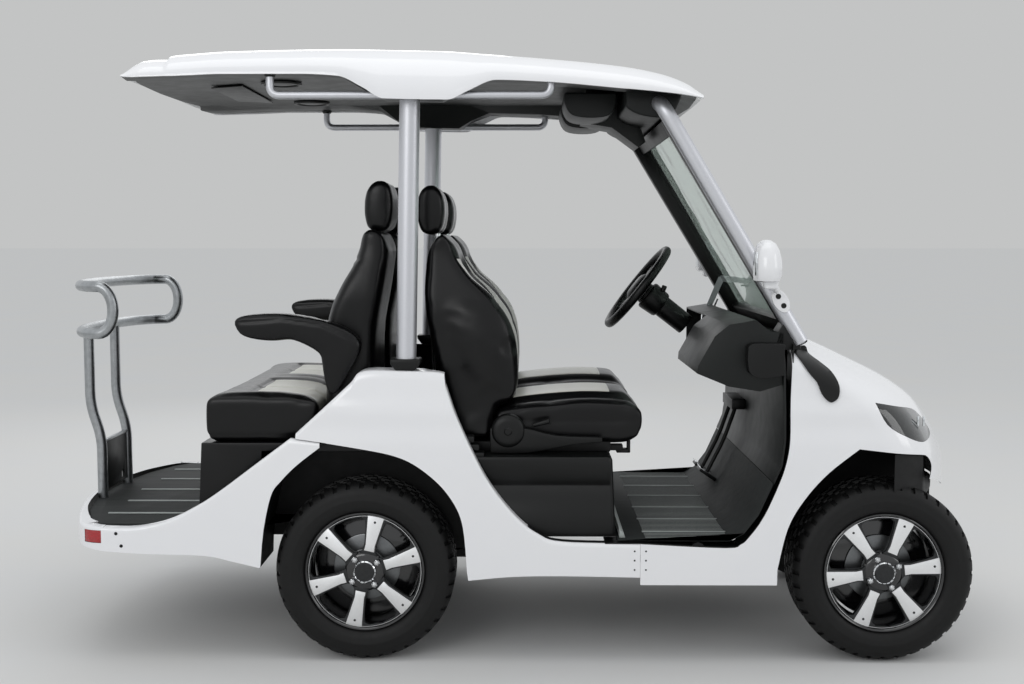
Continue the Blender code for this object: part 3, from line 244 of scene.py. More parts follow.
def spunProfile(profile, steps, open_=False):
    # profile of radius and height; it is turned about Y, and an open one starts and ends on the axis
    deselectAll()
    bpy.ops.mesh.primitive_circle_add(vertices=len(profile), fill_type="NOTHING")
    piece = bpy.context.object
    for vertex, (radius, height) in zip(piece.data.vertices, profile):
        vertex.co = (radius, height, 0)
    editAll(piece)
    if open_:  # the edge that closes the ring goes
        bpy.ops.mesh.select_mode(type="EDGE")
        objectMode()
        for edge in piece.data.edges:
            edge.select = set(edge.vertices) == {0, len(profile) - 1}
        bpy.ops.object.mode_set(mode="EDIT")
        bpy.ops.mesh.delete(type="EDGE")
        bpy.ops.mesh.select_mode(type="VERT")
        bpy.ops.mesh.select_all(action="SELECT")
    bpy.ops.mesh.spin(steps=steps, angle=2 * math.pi, center=(0, 0, 0), axis=(0, 1, 0))
    return recalculate(piece)


def roundedRoute(points, radius, steps=8):
    points = [Vector(p) for p in points]
    route = [points[0]]
    for before, corner, after in zip(points, points[1:], points[2:]):
        reach = min(radius, (before - corner).length * 0.49, (after - corner).length * 0.49)
        start = corner + (before - corner).normalized() * reach
        end = corner + (after - corner).normalized() * reach
        for k in range(steps + 1):
            t = k / steps
            route.append(start * (1 - t) ** 2 + corner * 2 * t * (1 - t) + end * t * t)
    return route + [points[-1]]


def tubeThrough(points, radius, closed=False, rings=6):
    deselectAll()
    bpy.ops.curve.primitive_bezier_curve_add()
    piece = bpy.context.object
    curve = piece.data
    curve.splines.clear()
    line = curve.splines.new("POLY")
    line.points.add(len(points) - 1)
    for spot, place in zip(line.points, points):
        spot.co = (*place, 1)
    line.use_cyclic_u = closed
    curve.bevel_depth = radius
    curve.bevel_resolution = rings
    curve.use_fill_caps = not closed
    pick(piece)
    bpy.ops.object.convert(target="MESH")
    return recalculate(bpy.context.object)


def stripThrough(points, width, thickness):
    # a flat strap: a closed ribbon whose width lies along Y
    def place(u, v):
        k = min(int(u * (len(points) - 1)), len(points) - 2)
        spot = Vector(points[k]).lerp(Vector(points[k + 1]), u * (len(points) - 1) - k)
        return spot + Vector((0, (v - 0.5) * width, 0))
    ribbon = gridPiece((len(points) - 1) * 3, 4, place)
    return giveWall(ribbon, thickness, (-50, 0, 0))


def cutAway(piece, *tools):
    for tool in tools:
        applyModifier(piece, "BOOLEAN", operation="DIFFERENCE", solver="EXACT", object=tool)
        discard(tool)
    return piece


def nodeCopy(name):
    piece = frame["nodes"][name].copy()
    piece.data = piece.data.copy()
    piece.parent = None
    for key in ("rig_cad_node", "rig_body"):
        if key in piece:
            del piece[key]
    bpy.context.scene.collection.objects.link(piece)
    recalculate(piece)
    editAll(piece)
    bpy.ops.mesh.dissolve_limited(angle_limit=math.radians(1.5))
    objectMode()
    return piece


def smoothAlong(table, x, column=1):
    # value of a table at x on one smooth line that never overshoots its points
    if x <= table[0][0]:
        return table[0][column]
    if x >= table[-1][0]:
        return table[-1][column]
    k = max(i for i in range(len(table) - 1) if table[i][0] <= x)
    step = [(b[column] - a[column]) / (b[0] - a[0]) for a, b in zip(table, table[1:])]

    def slope(i):
        if i == 0 or i == len(table) - 1:
            return step[min(i, len(step) - 1)]
        before, after = step[i - 1], step[i]
        return 0.0 if before * after <= 0 else 2 * before * after / (before + after)
    span = table[k + 1][0] - table[k][0]
    t = (x - table[k][0]) / span
    a, b = table[k][column], table[k + 1][column]
    return ((2 * t ** 3 - 3 * t * t + 1) * a + (t ** 3 - 2 * t * t + t) * span * slope(k)
        + (3 * t * t - 2 * t ** 3) * b + (t ** 3 - t * t) * span * slope(k + 1))


def smoothLine(points, steps=5, corners=()):
    # a curve through the points, left sharp at the numbered corners
    line = []
    for k in range(len(points) - 1):
        b, c = points[k], points[k + 1]
        a = b if k == 0 or k in corners else points[k - 1]
        d = c if k + 2 >= len(points) or k + 1 in corners else points[k + 2]
        for s in range(steps):
            t = s / steps
            line.append(tuple(0.5 * (2 * q + (r - p) * t + (2 * p - 5 * q + 4 * r - w) * t * t
                + (3 * q - p - 3 * r + w) * t ** 3) for p, q, r, w in zip(a, b, c, d)))
    return line + [tuple(points[-1])]


def easeBetween(x, low, high):
    t = min(1.0, max(0.0, (x - low) / (high - low)))
    return t * t * (3 - 2 * t)


# materials
def toLinear(hexColour):
    parts = [int(hexColour[i:i + 2], 16) / 255 for i in (1, 3, 5)]
    return tuple(c / 12.92 if c <= 0.04045 else ((c + 0.055) / 1.055) ** 2.4 for c in parts) + (1.0,)


def paintShadeInside(piece, centre, material):
    # the faces that look towards the middle of the cart get the second material: dark paint on the inside of
    # the white moulding, painted shade for the inside of the body
    piece.data.materials.append(material)
    for face in piece.data.polygons:
        x = (min if centre[0] > 0 else max)(face.center.x, centre[0])
        if face.normal.dot(face.center - Vector((x, *centre[1:]))) < 0:
            face.material_index = 1


def addNode(tree, kind, settings=None, links=None):
    made = tree.nodes.new("ShaderNode" + kind)
    for key, value in (settings or {}).items():
        if isinstance(key, str) and key.islower():
            setattr(made, key, value)
        else:
            made.inputs[key].default_value = value
    for key, source in (links or {}).items():
        tree.links.new(source, made.inputs[key])
    return made


def surface(name, colour, other, mottleMm, smooth, rough, wearMm, grainMm, depth, shaderSettings,
        cells=False, stretch=None):
    # two colours and the size of their mottling, a roughness range and its size, a grain and its depth
    material = bpy.data.materials.new(name)
    material.use_nodes = True
    tree = material.node_tree
    shader = tree.nodes["Principled BSDF"]
    for key, value in shaderSettings.items():
        shader.inputs[key].default_value = value
    place = addNode(tree, "TexCoord").outputs["Object"]
    if stretch:
        place = addNode(tree, "Mapping", {"Scale": stretch}, {"Vector": place}).outputs[0]
    mottle = addNode(tree, "TexNoise", {"Scale": 1000 / mottleMm, "Detail": 3.0}, {"Vector": place})
    colours = addNode(tree, "Mix", {"data_type": "RGBA"}, {"Factor": mottle.outputs["Fac"]})
    colours.inputs[6].default_value = toLinear(colour)
    colours.inputs[7].default_value = toLinear(other)
    tree.links.new(colours.outputs[2], shader.inputs["Base Color"])
    wear = addNode(tree, "TexNoise", {"Scale": 1000 / wearMm, "Detail": 4.0}, {"Vector": place})
    sheen = addNode(tree, "MapRange", {3: smooth, 4: rough}, {"Value": wear.outputs["Fac"]})
    tree.links.new(sheen.outputs[0], shader.inputs["Roughness"])
    if cells:
        grain = addNode(tree, "TexVoronoi", {"feature": "SMOOTH_F1", "Scale": 1000 / grainMm},
            {"Vector": place}).outputs["Distance"]
    else:
        grain = addNode(tree, "TexNoise", {"Scale": 1000 / grainMm, "Detail": 2.0},
            {"Vector": place}).outputs["Fac"]
    bump = addNode(tree, "Bump", {"Strength": depth, "Distance": grainMm / 2000}, {"Height": grain})
    tree.links.new(bump.outputs["Normal"], shader.inputs["Normal"])
    return material


def banded(material, bands, limits, hexColour, seam=0.002):
    # a second vinyl sewn in bands across Y, inside the limits given on X and Z as a*x + b*z > c
    tree = material.node_tree
    shader = tree.nodes["Principled BSDF"]
    place = addNode(tree, "TexCoord").outputs["Object"]
    axes = addNode(tree, "SeparateXYZ", {}, {0: place}).outputs
    mask = None
    for centre, half in bands:
        away = addNode(tree, "Math", {"operation": "SUBTRACT", 1: centre}, {0: axes[1]})
        away = addNode(tree, "Math", {"operation": "ABSOLUTE"}, {0: away.outputs[0]})
        inside = addNode(tree, "MapRange", {1: half - seam / 2, 2: half + seam / 2, 3: 1.0, 4: 0.0},
            {0: away.outputs[0]}).outputs[0]
        if mask:
            inside = addNode(tree, "Math", {"operation": "MAXIMUM"}, {0: mask, 1: inside}).outputs[0]
        mask = inside
    for a, b, c in limits:
        byX = addNode(tree, "Math", {"operation": "MULTIPLY", 1: a}, {0: axes[0]}).outputs[0]
        total = addNode(tree, "Math", {"operation": "MULTIPLY_ADD", 1: b}, {0: axes[2], 2: byX})
        beyond = addNode(tree, "MapRange", {1: c, 2: c + seam, 3: 0.0, 4: 1.0}, {0: total.outputs[0]})
        mask = addNode(tree, "Math", {"operation": "MULTIPLY"}, {0: mask, 1: beyond.outputs[0]}).outputs[0]
    plain = shader.inputs["Base Color"].links[0].from_socket
    mixed = addNode(tree, "Mix", {"data_type": "RGBA"}, {0: mask, 6: plain})
    mixed.inputs[7].default_value = toLinear(hexColour)
    tree.links.new(mixed.outputs[2], shader.inputs["Base Color"])
    oldBump = shader.inputs["Normal"].links[0].from_socket
    stitchLine = addNode(tree, "Bump", {"Strength": 0.5, "Distance": 0.002},
        {"Height": mask, "Normal": oldBump})
    tree.links.new(stitchLine.outputs["Normal"], shader.inputs["Normal"])
    return material


# glass-fibre panels under sprayed gelcoat: glossy, with a faint orange peel
glossWhiteGelcoat = surface("glossWhiteGelcoat", "#E6E7EA", "#EDEDEE", 400, 0.1, 0.16, 60, 7, 0.03,
    {"IOR": 1.5, "Coat Weight": 0.4, "Coat Roughness": 0.06})
# steel tube powder-coated in silver: soft sheen with a fine sparkle
satinSilverTube = surface("satinSilverTube", "#CCCDD2", "#D8D9DD", 3, 0.38, 0.48, 25, 1.2, 0.05,
    {"Metallic": 0.85})
# bent, brushed aluminium tube of the grab bar: brighter, with long scratches
brushedTube = surface("brushedTube", "#8F9294", "#B9BCBE", 18, 0.26, 0.42, 10, 2, 0.08, {"Metallic": 1.0})
# embossed PVC leathercloth over foam: small cells, low sheen; the cells are drawn at 2.2 mm to show
def vinyl(name):
    return surface(name, "#040405", "#070708", 90, 0.26, 0.38, 30, 2.2, 0.16,
        {"IOR": 1.48, "Specular IOR Level": 0.34}, cells=True)


blackVinyl = vinyl("blackVinyl")
# injection-moulded ABS with a spark-eroded texture
blackAbs = surface("blackAbs", "#060707", "#0A0B0B", 60, 0.34, 0.48, 35, 1.4, 0.12,
    {"IOR": 1.54, "Specular IOR Level": 0.3})
# vacuum-formed liner in charcoal ABS: coarser haircell grain, almost matt
charcoalLiner = surface("charcoalLiner", "#0A0D0C", "#101413", 120, 0.36, 0.52, 50, 1.8, 0.1,
    {"IOR": 1.54, "Specular IOR Level": 0.3}, cells=True)
# calendered rubber matting: dull, with fine ribs and dust in them
rubberMat = surface("rubberMat", "#1D2020", "#272A29", 25, 0.62, 0.8, 20, 2.5, 0.3,
    {"Specular IOR Level": 0.3}, stretch=(0.15, 1, 1))
# extruded PVC tread strip in light grey
paleStrip = surface("paleStrip", "#8C9290", "#A3A8A5", 12, 0.45, 0.6, 8, 1.5, 0.15, {"IOR": 1.5})
# vulcanised tyre rubber, new: deep grey, slightly waxy on the sidewall
tyreRubber = surface("tyreRubber", "#080808", "#0D0D0D", 30, 0.48, 0.66, 18, 1.6, 0.15,
    {"Specular IOR Level": 0.32})
# cast aluminium, faced on a lathe: bright with fine turning lines
machinedAlloy = surface("machinedAlloy", "#F0F1F2", "#F8F8F8", 6, 0.3, 0.42, 5, 1.0, 0.06,
    {"Metallic": 1.0})
# the same casting left grey on its flanks under clear lacquer
greyAlloy = surface("greyAlloy", "#2A2B2C", "#3A3B3C", 9, 0.3, 0.42, 8, 1.4, 0.08,
    {"Metallic": 0.9, "Coat Weight": 0.3})
# wheel barrel in black gloss enamel
blackEnamel = surface("blackEnamel", "#0A0A0B", "#101012", 40, 0.12, 0.22, 15, 5, 0.03,
    {"Coat Weight": 0.8, "Coat Roughness": 0.05})
# chromium-plated steel of nuts and trim
chromePlate = surface("chromePlate", "#C9CBCD", "#DEDFE0", 20, 0.05, 0.14, 10, 3, 0.02, {"Metallic": 1.0})
# laminated windscreen glass with a light green tint
greenGlass = surface("greenGlass", "#D2E4DA", "#D8E8DF", 600, 0.01, 0.03, 200, 300, 0.01,
    {"Transmission Weight": 1.0, "IOR": 1.5})
# smoked polycarbonate headlamp cover
smokedLens = surface("smokedLens", "#4A4E4E", "#5A5E5D", 120, 0.03, 0.08, 60, 80, 0.02,
    {"Transmission Weight": 0.85, "IOR": 1.5, "Coat Weight": 0.5})
# red acrylic tail lamp, moulded with small prisms behind its face
redLens = surface("redLens", "#A3141B", "#C4252C", 9, 0.1, 0.18, 12, 6, 0.5,
    {"Transmission Weight": 0.25, "IOR": 1.49, "Coat Weight": 0.6}, cells=True)
# chassis steel in dip-coated black paint, with road dust
paintedSteel = surface("paintedSteel", "#070708", "#0E0E0E", 45, 0.42, 0.65, 25, 3, 0.15,
    {"Specular IOR Level": 0.3})
# ground cast iron of the brake disc
groundIron = surface("groundIron", "#6B6D6E", "#7D7F80", 5, 0.28, 0.42, 6, 1.2, 0.12, {"Metallic": 1.0})
# silvered glass of the mirrors and the lamp bowls
silveredGlass = surface("silveredGlass", "#DDE1E4", "#E6EAEC", 200, 0.02, 0.05, 100, 100, 0.01,
    {"Metallic": 1.0})
# woven polyester seat-belt webbing
beltWeave = surface("beltWeave", "#141415", "#1F1F20", 4, 0.55, 0.7, 6, 2, 0.35, {"Sheen Weight": 0.2},
    stretch=(1, 3, 1))
print("materials ready")


# stage, light and camera
studio = {"floorSize": 400, "floorColour": "#D9D8D5", "skyLevel": 0.84, "cameraPlace": (0.05, -4.53, 1.35),
    "cameraTurn": (85.365, 0.0, 0.59), "lens": 44.23}
deselectAll()
bpy.ops.mesh.primitive_plane_add(size=studio["floorSize"], location=(0, 0, -0.0005))
floor = bpy.context.object
floor.name = "studioFloor"
paleFloor = surface("paleFloor", studio["floorColour"], "#D6D7D8", 900, 0.55, 0.65, 300, 12, 0.0,
    {"Specular IOR Level": 0.0})
floor.data.materials.append(paleFloor)

world = bpy.data.worlds.new("studioAir")
bpy.context.scene.world = world
world.use_nodes = True
tree = world.node_tree
plain = tree.nodes["Background"]
plain.inputs["Color"].default_value = toLinear("#F4F6F8")
plain.inputs["Strength"].default_value = studio["skyLevel"]
seen = addNode(tree, "Background", {"Color": toLinear("#C3C4C4"), "Strength": 1.0})
rays = addNode(tree, "LightPath")
either = addNode(tree, "Math", {"operation": "MAXIMUM"},
    {0: rays.outputs["Is Camera Ray"], 1: rays.outputs["Is Transmission Ray"]})
mixed = addNode(tree, "MixShader", {}, {0: either.outputs[0], 1: plain.outputs[0], 2: seen.outputs[0]})
tree.links.new(mixed.outputs[0], tree.nodes["World Output"].inputs["Surface"])

# name, place, aim, size, watts
lamps = (("ceilingPanel", (0.0, -0.6, 5.2), (0, 0, 0.6), (5.0, 3.0), 45),
    ("cameraSideBox", (-2.6, -5.4, 3.2), (0, 0, 0.8), (3.0, 2.0), 50),
    ("noseBox", (5.2, -2.2, 2.6), (0.6, 0, 0.8), (2.0, 2.0), 22),
    ("backBox", (-1.5, 5.0, 3.4), (0, 0, 0.9), (3.0, 2.0), 25),)
for name, place, aim, size, watts in lamps:
    deselectAll()
    bpy.ops.object.light_add(type="AREA", location=place)
    lamp = bpy.context.object
    lamp.name = name
    lamp.rotation_mode = "QUATERNION"
    lamp.rotation_quaternion = (Vector(aim) - Vector(place)).to_track_quat("-Z", "Y")
    lamp.data.shape = "RECTANGLE"
    lamp.data.size, lamp.data.size_y = size
    lamp.data.energy = watts
deselectAll()
bpy.ops.object.camera_add(location=studio["cameraPlace"],
    rotation=[math.radians(a) for a in studio["cameraTurn"]])
camera = bpy.context.object
camera.data.lens = studio["lens"]
camera.data.sensor_width = 36
bpy.context.scene.camera = camera
bpy.context.scene.view_settings.view_transform = "Standard"
print("stage, light and camera ready")


# wheels: made round the origin with the outer face towards +Y, then placed four times
wheel = {"tyreRadius": 0.29, "width": 0.205, "rim": 0.192, "steps": 120, "spokes": 6,
    "nutCircle": 0.0508, "axleY": 0.49, "frontX": 1.197, "rearX": -0.463}


def cellRound(face, cells):
    # the number of the cell a face lies in, counted round the axle
    angle = math.atan2(face.center.z, face.center.x) + math.pi
    return int(angle / (2 * math.pi) * cells)


def insetWhere(piece, chosen, thickness, depth):
    pick(piece)
    for face in piece.data.polygons:
        face.select = chosen(face, math.hypot(face.center.x, face.center.z))
    bpy.context.tool_settings.mesh_select_mode = (False, False, True)
    bpy.ops.object.mode_set(mode="EDIT")
    bpy.ops.mesh.inset(thickness=thickness, depth=depth, use_even_offset=False)
    bpy.ops.mesh.select_mode(type="VERT")
    objectMode()


def makeTyre():
    half, radius, rim = wheel["width"] / 2, wheel["tyreRadius"], wheel["rim"]
    side = ((rim - 0.006, half - 0.021), (rim + 0.0005, half - 0.0195), (rim + 0.006, half - 0.013),
        (rim + 0.014, half - 0.006), (rim + 0.026, half - 0.0022), (rim + 0.04, half - 0.0005),
        (rim + 0.0425, half + 0.0), (rim + 0.045, half - 0.0008), (radius - 0.038, half - 0.0012),
        (radius - 0.027, half - 0.004), (radius - 0.018, half - 0.01), (radius - 0.011, half - 0.0175),
        (radius - 0.006, half - 0.026), (radius - 0.0025, half - 0.036))
    tread = []
    for rib in (0.052, 0.022):  # outer edge of each rib, then the groove beside it
        tread += [(radius - 0.0008, rib + 0.004), (radius - 0.0006, rib - 0.012),
            (radius - 0.007, rib - 0.0135), (radius - 0.007, rib - 0.0185)]
    outer = list(side) + tread
    inner = [(r, -h) for r, h in reversed(outer)]
    tyre = spunProfile(outer + inner, wheel["steps"])
    # shoulder blocks: every second cell of the shoulder is pressed in
    steps = wheel["steps"]
    insetWhere(tyre, lambda f, r: (radius - 0.019 < r < radius - 0.001 and 0.06 < abs(f.center.y) < 0.095
        and cellRound(f, steps) % 3 == 0), 0.001, -0.0075)
    # slanted sipes in the middle ribs
    insetWhere(tyre, lambda f, r: (r > radius - 0.004 and abs(f.center.y) < 0.056
        and (cellRound(f, steps) + int((f.center.y + 0.11) / 0.03)) % 3 == 0), 0.0022, -0.004)
    return dress(tyre, tyreRubber)


def makeRim():
    half, rim = wheel["width"] / 2, wheel["rim"]
    face = half - 0.02
    parts = []
    barrel = spunProfile(((rim, half - 0.0185), (rim, half - 0.0135), (rim - 0.003, half - 0.0115),
        (rim - 0.007, half - 0.014), (rim - 0.013, half - 0.026), (rim - 0.02, half - 0.05),
        (rim - 0.022, -half + 0.04), (rim - 0.012, -half + 0.026), (rim - 0.005, -half + 0.013),
        (rim, -half + 0.013), (rim, -half + 0.0195), (rim - 0.009, -half + 0.0205),
        (rim - 0.0095, half - 0.0205)), 96)
    parts.append(dress(barrel, blackEnamel))
    # one sixth of the face: spoke, flanks and its share of the jagged ring
    flank = [(0.056, 0.03), (0.066, 0.0215), (0.09, 0.0205), (0.14, 0.027), (0.164, 0.033), (0.169, 0.048),
        (0.162, 0.064), (0.177 * math.cos(math.pi / 6), 0.177 * math.sin(math.pi / 6))]
    arc = [(0.1865 * math.cos(a), 0.1865 * math.sin(a)) for a in (math.pi / 6 * (1 - k / 6)
        for k in range(13))]
    outline = [(x, y) for x, y in flank] + arc + [(x, -y) for x, y in reversed(flank)]
    sector = outlinePiece(outline, face - 0.022, face - 0.004)
    bevelEdges(sector, 0.0025, 2)
    dress(sector, greyAlloy)
    gap = outlinePiece([(0.066, 0.0185), (0.085, 0.017), (0.1862, 0.029), (0.1862, -0.029), (0.085, -0.017),
        (0.066, -0.0185)], face - 0.006, face - 0.0034)
    dress(gap, blackEnamel)
    bright = outlinePiece([(0.067, 0.0165), (0.087, 0.015), (0.1858, 0.027), (0.1858, -0.027),
        (0.087, -0.015), (0.067, -0.0165)], face - 0.006, face)
    bevelEdges(bright, 0.0012, 2)
    dress(bright, machinedAlloy)
    screw = rodBetween((0.163, face - 0.004, 0), (0.163, face + 0.0012, 0), 0.004, 16, bevel=0.0008)
    dress(screw, greyAlloy)
    socket = rodBetween((0.163, face, 0), (0.163, face + 0.0014, 0), 0.0018, 6)
    dress(socket, blackEnamel)
    for k in range(wheel["spokes"]):
        turn = turnBy(2 * math.pi * k / wheel["spokes"], 4, "Y")
        parts += [placedCopy(piece, turn) for piece in (sector, gap, bright, screw, socket)]
    discard(sector, gap, bright, screw, socket)
    hub = spunProfile(((0, face - 0.002), (0.05, face - 0.002), (0.06, face - 0.006), (0.066, face - 0.014),
        (0.067, face - 0.03), (0.052, face - 0.04), (0.045, 0.02), (0, 0.02)), 64, open_=True)
    parts.append(dress(hub, blackEnamel))
    cap = spunProfile(((0, face + 0.0135), (0.028, face + 0.0125), (0.0305, face + 0.0105),
        (0.031, face + 0.004), (0, face + 0.004)), 48, open_=True)
    parts.append(dress(cap, greyAlloy))
    ring = spunProfile(((0.03, face + 0.01), (0.033, face + 0.0125), (0.0365, face + 0.009),
        (0.038, face - 0.004), (0.03, face - 0.004)), 64)
    # notches of the segmented ring
    insetWhere(ring, lambda f, r: cellRound(f, 64) % 4 == 0 and f.center.y > face - 0.002, 0.0004, -0.0016)
    parts.append(dress(ring, chromePlate))
    for k in range(4):
        angle = math.pi / 2 * k + math.radians(20)
        spot = (wheel["nutCircle"] * math.cos(angle), wheel["nutCircle"] * math.sin(angle))
        nut = rodBetween((spot[0], face - 0.006, spot[1]), (spot[0], face + 0.012, spot[1]), 0.0105, 6,
            0.01, 0.0015)
        crown = rodBetween((spot[0], face + 0.011, spot[1]), (spot[0], face + 0.016, spot[1]), 0.0085, 20,
            0.005, 0.0015)
        parts += [dress(nut, chromePlate), dress(crown, chromePlate)]
    lip = spunProfile(((0.18, face - 0.002), (0.1868, face - 0.002), (0.1868, face - 0.005),
        (0.18, face - 0.005)), 96)
    parts.append(dress(lip, machinedAlloy))
    shield = spunProfile(mm((40, 4), (150, 4), (166, -4), (166, -7), (148, 1), (40, 1)), 64)
    parts.append(dress(shield, blackEnamel))
    disc = spunProfile(mm((40, 18), (105, 18), (108, 16.5), (108, 11.5), (105, 10), (40, 10)), 64)
    parts.append(dress(disc, groundIron))
    bell = spunProfile(mm((38, 30), (58, 30), (60, 16), (38, 12)), 48)
    parts.append(dress(bell, paintedSteel))
    valve = rodBetween((0.158, face - 0.03, 0.06), (0.15, face - 0.008, 0.057), 0.0035, 12, bevel=0.001)
    parts.append(dress(valve, blackAbs))
    return joined(parts)


tyre = makeTyre()
rim = makeRim()
# name, axle x, side, turn of the spokes in degrees
corners = (("front_left", wheel["frontX"], 1, 14.0), ("front_right", wheel["frontX"], -1, -7.5),
    ("rear_left", wheel["rearX"], 1, 41.0), ("rear_right", wheel["rearX"], -1, -18.0),)
for name, x, side, turn in corners:
    place = Matrix.Translation((x, side * wheel["axleY"], wheel["tyreRadius"])) @ Matrix.Scale(side, 4,
        (0, 1, 0))
    place = place @ turnBy(math.radians(turn), 4, "Y")
    title = "".join(word.title() for word in name.split("_"))
    finishPiece(placedCopy(tyre, place), "tyre" + title, None, "tyre_rubber", name + "_wheel",
        ("tyre_" + name,), 32)
    finishPiece(placedCopy(rim, place), "rim" + title, None, "alloy", name + "_wheel", ("rim_" + name,), 32)
discard(tyre, rim)
print("wheels ready")


# front body: one moulded shell round the nose
body = {"wall": 0.004, "sillSeamX": 0.417, "noseBow": 0.55, "noseCorner": 0.1, "halfWidth": 0.6}
# height, nose centre x, half width
noseRows = ((0.256, 1.512, 0.6), (0.4, 1.512, 0.6), (0.513, 1.512, 0.6), (0.569, 1.512, 0.6),
    (0.63, 1.506, 0.6), (0.7, 1.48, 0.597), (0.76, 1.446, 0.591), (0.81, 1.407, 0.5883),
    (0.855, 1.348, 0.58), (0.895, 1.279, 0.575), (0.932, 1.202, 0.57), (0.974, 1.114, 0.562),
    (1.005, 1.045, 0.555),)
doorFront = mm((300, 388), (417, 388), (687, 376), (735, 388), (760, 410), (808, 478), (855, 584),
    (876, 650), (887, 720), (888, 820), (894, 936), (899, 1020))
frontArch = mm((852, 307), (883, 439), (934, 531), (1009, 617), (1105, 693), (1201, 682), (1305, 670),
    (1340, 658), (1357, 626), (1345, 588), (1390, 572), (1470, 522))
headlamp = mm((1158, 837), (1212, 826), (1310, 802), (1352, 776), (1387, 737), (1396, 716), (1374, 706),
    (1322, 705), (1262, 727), (1194, 768))


def sideY(z):
    return smoothAlong(noseRows, z, 2)


def nosePoint(u, z):
    # u runs from the left sill seam round the nose to the right one
    centre, half = smoothAlong(noseRows, z, 1), sideY(z)
    bow, corner = body["noseBow"], body["noseCorner"]
    cornerX = centre - bow * half * half
    startX, frontY = cornerX - corner, half - corner
    frontX = centre - bow * frontY * frontY
    s = 1 - abs(2 * u - 1)
    if s < 0.44:
        x, y = body["sillSeamX"] + 0.0005 + (startX - body["sillSeamX"]) * s / 0.44, half
    elif s < 0.72:
        t = (s - 0.44) / 0.28
        a, b, c = (1 - t) ** 2, 2 * t * (1 - t), t * t
        x, y = startX * a + cornerX * b + frontX * c, half * (a + b) + frontY * c
    else:
        y = frontY * (1 - (s - 0.72) / 0.28)
        x = centre - bow * y * y
    return Vector((x, y if u < 0.5 else -y, z))


def skinY(x, z):
    # half width of the moulded front at this x and height
    low, high = 0.0, 0.36
    for _ in range(30):
        middle = (low + high) / 2
        if nosePoint(middle, z).x < x:
            low = middle
        else:
            high = middle
    return nosePoint(low, z).y


def makeFrontBody():
    low, high = noseRows[0][0], noseRows[-1][0]
    skin = gridPiece(150, 60, lambda u, v: nosePoint(u, low + (high - low) * v))
    giveWall(skin, body["wall"], (1.0, 0, 0.4))
    reach = body["halfWidth"] + 0.1
    door = outlinePiece(smoothLine(doorFront, 4, (1,)) + [(0.899, 1.2), (0.3, 1.2)], -reach, reach)
    arch = outlinePiece([(0.85, 0.15)] + smoothLine(frontArch, 5, (4, 9)) + [(1.6, 0.513), (1.6, 0.15)],
        -reach, reach)
    lamps = [outlinePiece(smoothLine(headlamp + headlamp[:1], 4, (0, 5))[:-1], low, high)
        for low, high in ((0.22, reach), (-reach, -0.22))]
    cutAway(skin, door, arch, *lamps)
    finishPiece(skin, "frontBodySkin", glossWhiteGelcoat, "white_body", "chassis", ("front_body",), 28)
    # painted shade: the inner faces of the white front skin get the dark second material
    paintShadeInside(skin, (1.0, 0, 0.45), paintedSteel)
    line = smoothLine(doorFront, 6, (1,))

    def edgePoint(u, v):
        x, z = line[round(u * (len(line) - 1))]
        return (x + 0.0045, -sideY(z) + 0.0035 + 0.085 * v, z)
    edge = gridPiece(len(line) - 1, 2, edgePoint)
    giveWall(edge, 0.003, (1.0, 0, 0.6))
    pairOf(edge, "doorEdgeTrim", "Right", blackAbs, "black_plastic")


def makeHeadlamp():
    low, high = 0.7, 0.84
    middle = Vector((sum(x for x, _ in headlamp), sum(z for _, z in headlamp))) / len(headlamp)

    def lens(shrink, lowDepth, wall, name, material, slot, instead):
        sheet = gridPiece(110, 40, lambda u, v: nosePoint(0.19 + 0.22 * u,
            low + (high - low) * v) - Vector((lowDepth, lowDepth * 0.6, lowDepth * 0.2)))
        giveWall(sheet, wall, (1.0, 0, 0.4))
        outline = [tuple(middle + (Vector(p) - middle) * shrink)
            for p in smoothLine(headlamp + headlamp[:1], 4, (0, 5))[:-1]]
        trimmer = outlinePiece(outline, 0.222, 0.72)
        applyModifier(sheet, "BOOLEAN", operation="INTERSECT", solver="EXACT", object=trimmer)
        discard(trimmer)
        return finishPiece(sheet, name, material, slot, "chassis", instead, 30)
    cover = lens(0.985, 0.0, 0.003, "headlampCoverLeft", smokedLens, "lamp_smoke", ("headlamp_left",))
    otherSide(cover, "headlampCoverRight", ("headlamp_right",))
    pan = lens(0.975, 0.042, 0.003, "headlampPanLeft", blackAbs, "lamp_smoke", ())
    otherSide(pan, "headlampPanRight")
    bowls = []
    for x, y, z, r in ((1.292, 0.452, 0.757, 0.024), (1.255, 0.497, 0.783, 0.018)):
        bowl = spunProfile(((0.004, -0.014), (r * 0.6, -0.01), (r, 0.004), (r + 0.002, 0.004),
            (r * 0.62, -0.013), (0.004, -0.018)), 40)
        aim = Vector((0.78, 0.6, -0.1)).to_track_quat("Y", "Z").to_matrix().to_4x4()
        bowl.data.transform(Matrix.Translation((x, y, z)) @ aim)
        bowls.append(bowl)
        bulb = rodBetween((x - 0.014, y - 0.01, z), (x + 0.004, y + 0.003, z), 0.005, 16, 0.003, 0.001)
        bowls.append(bulb)
    for x in (1.326, 1.344):  # two bright light bars just behind the cover
        y = skinY(x, 0.766) - 0.006
        bowls.append(boxBetween((x - 0.008, y - 0.004, 0.75), (x - 0.002, y + 0.002, 0.782), 0.001, 2))
    pairOf(joined(bowls), "headlampBowls", "Left", silveredGlass, "lamp_smoke")


makeFrontBody()
makeHeadlamp()
print("front body ready")

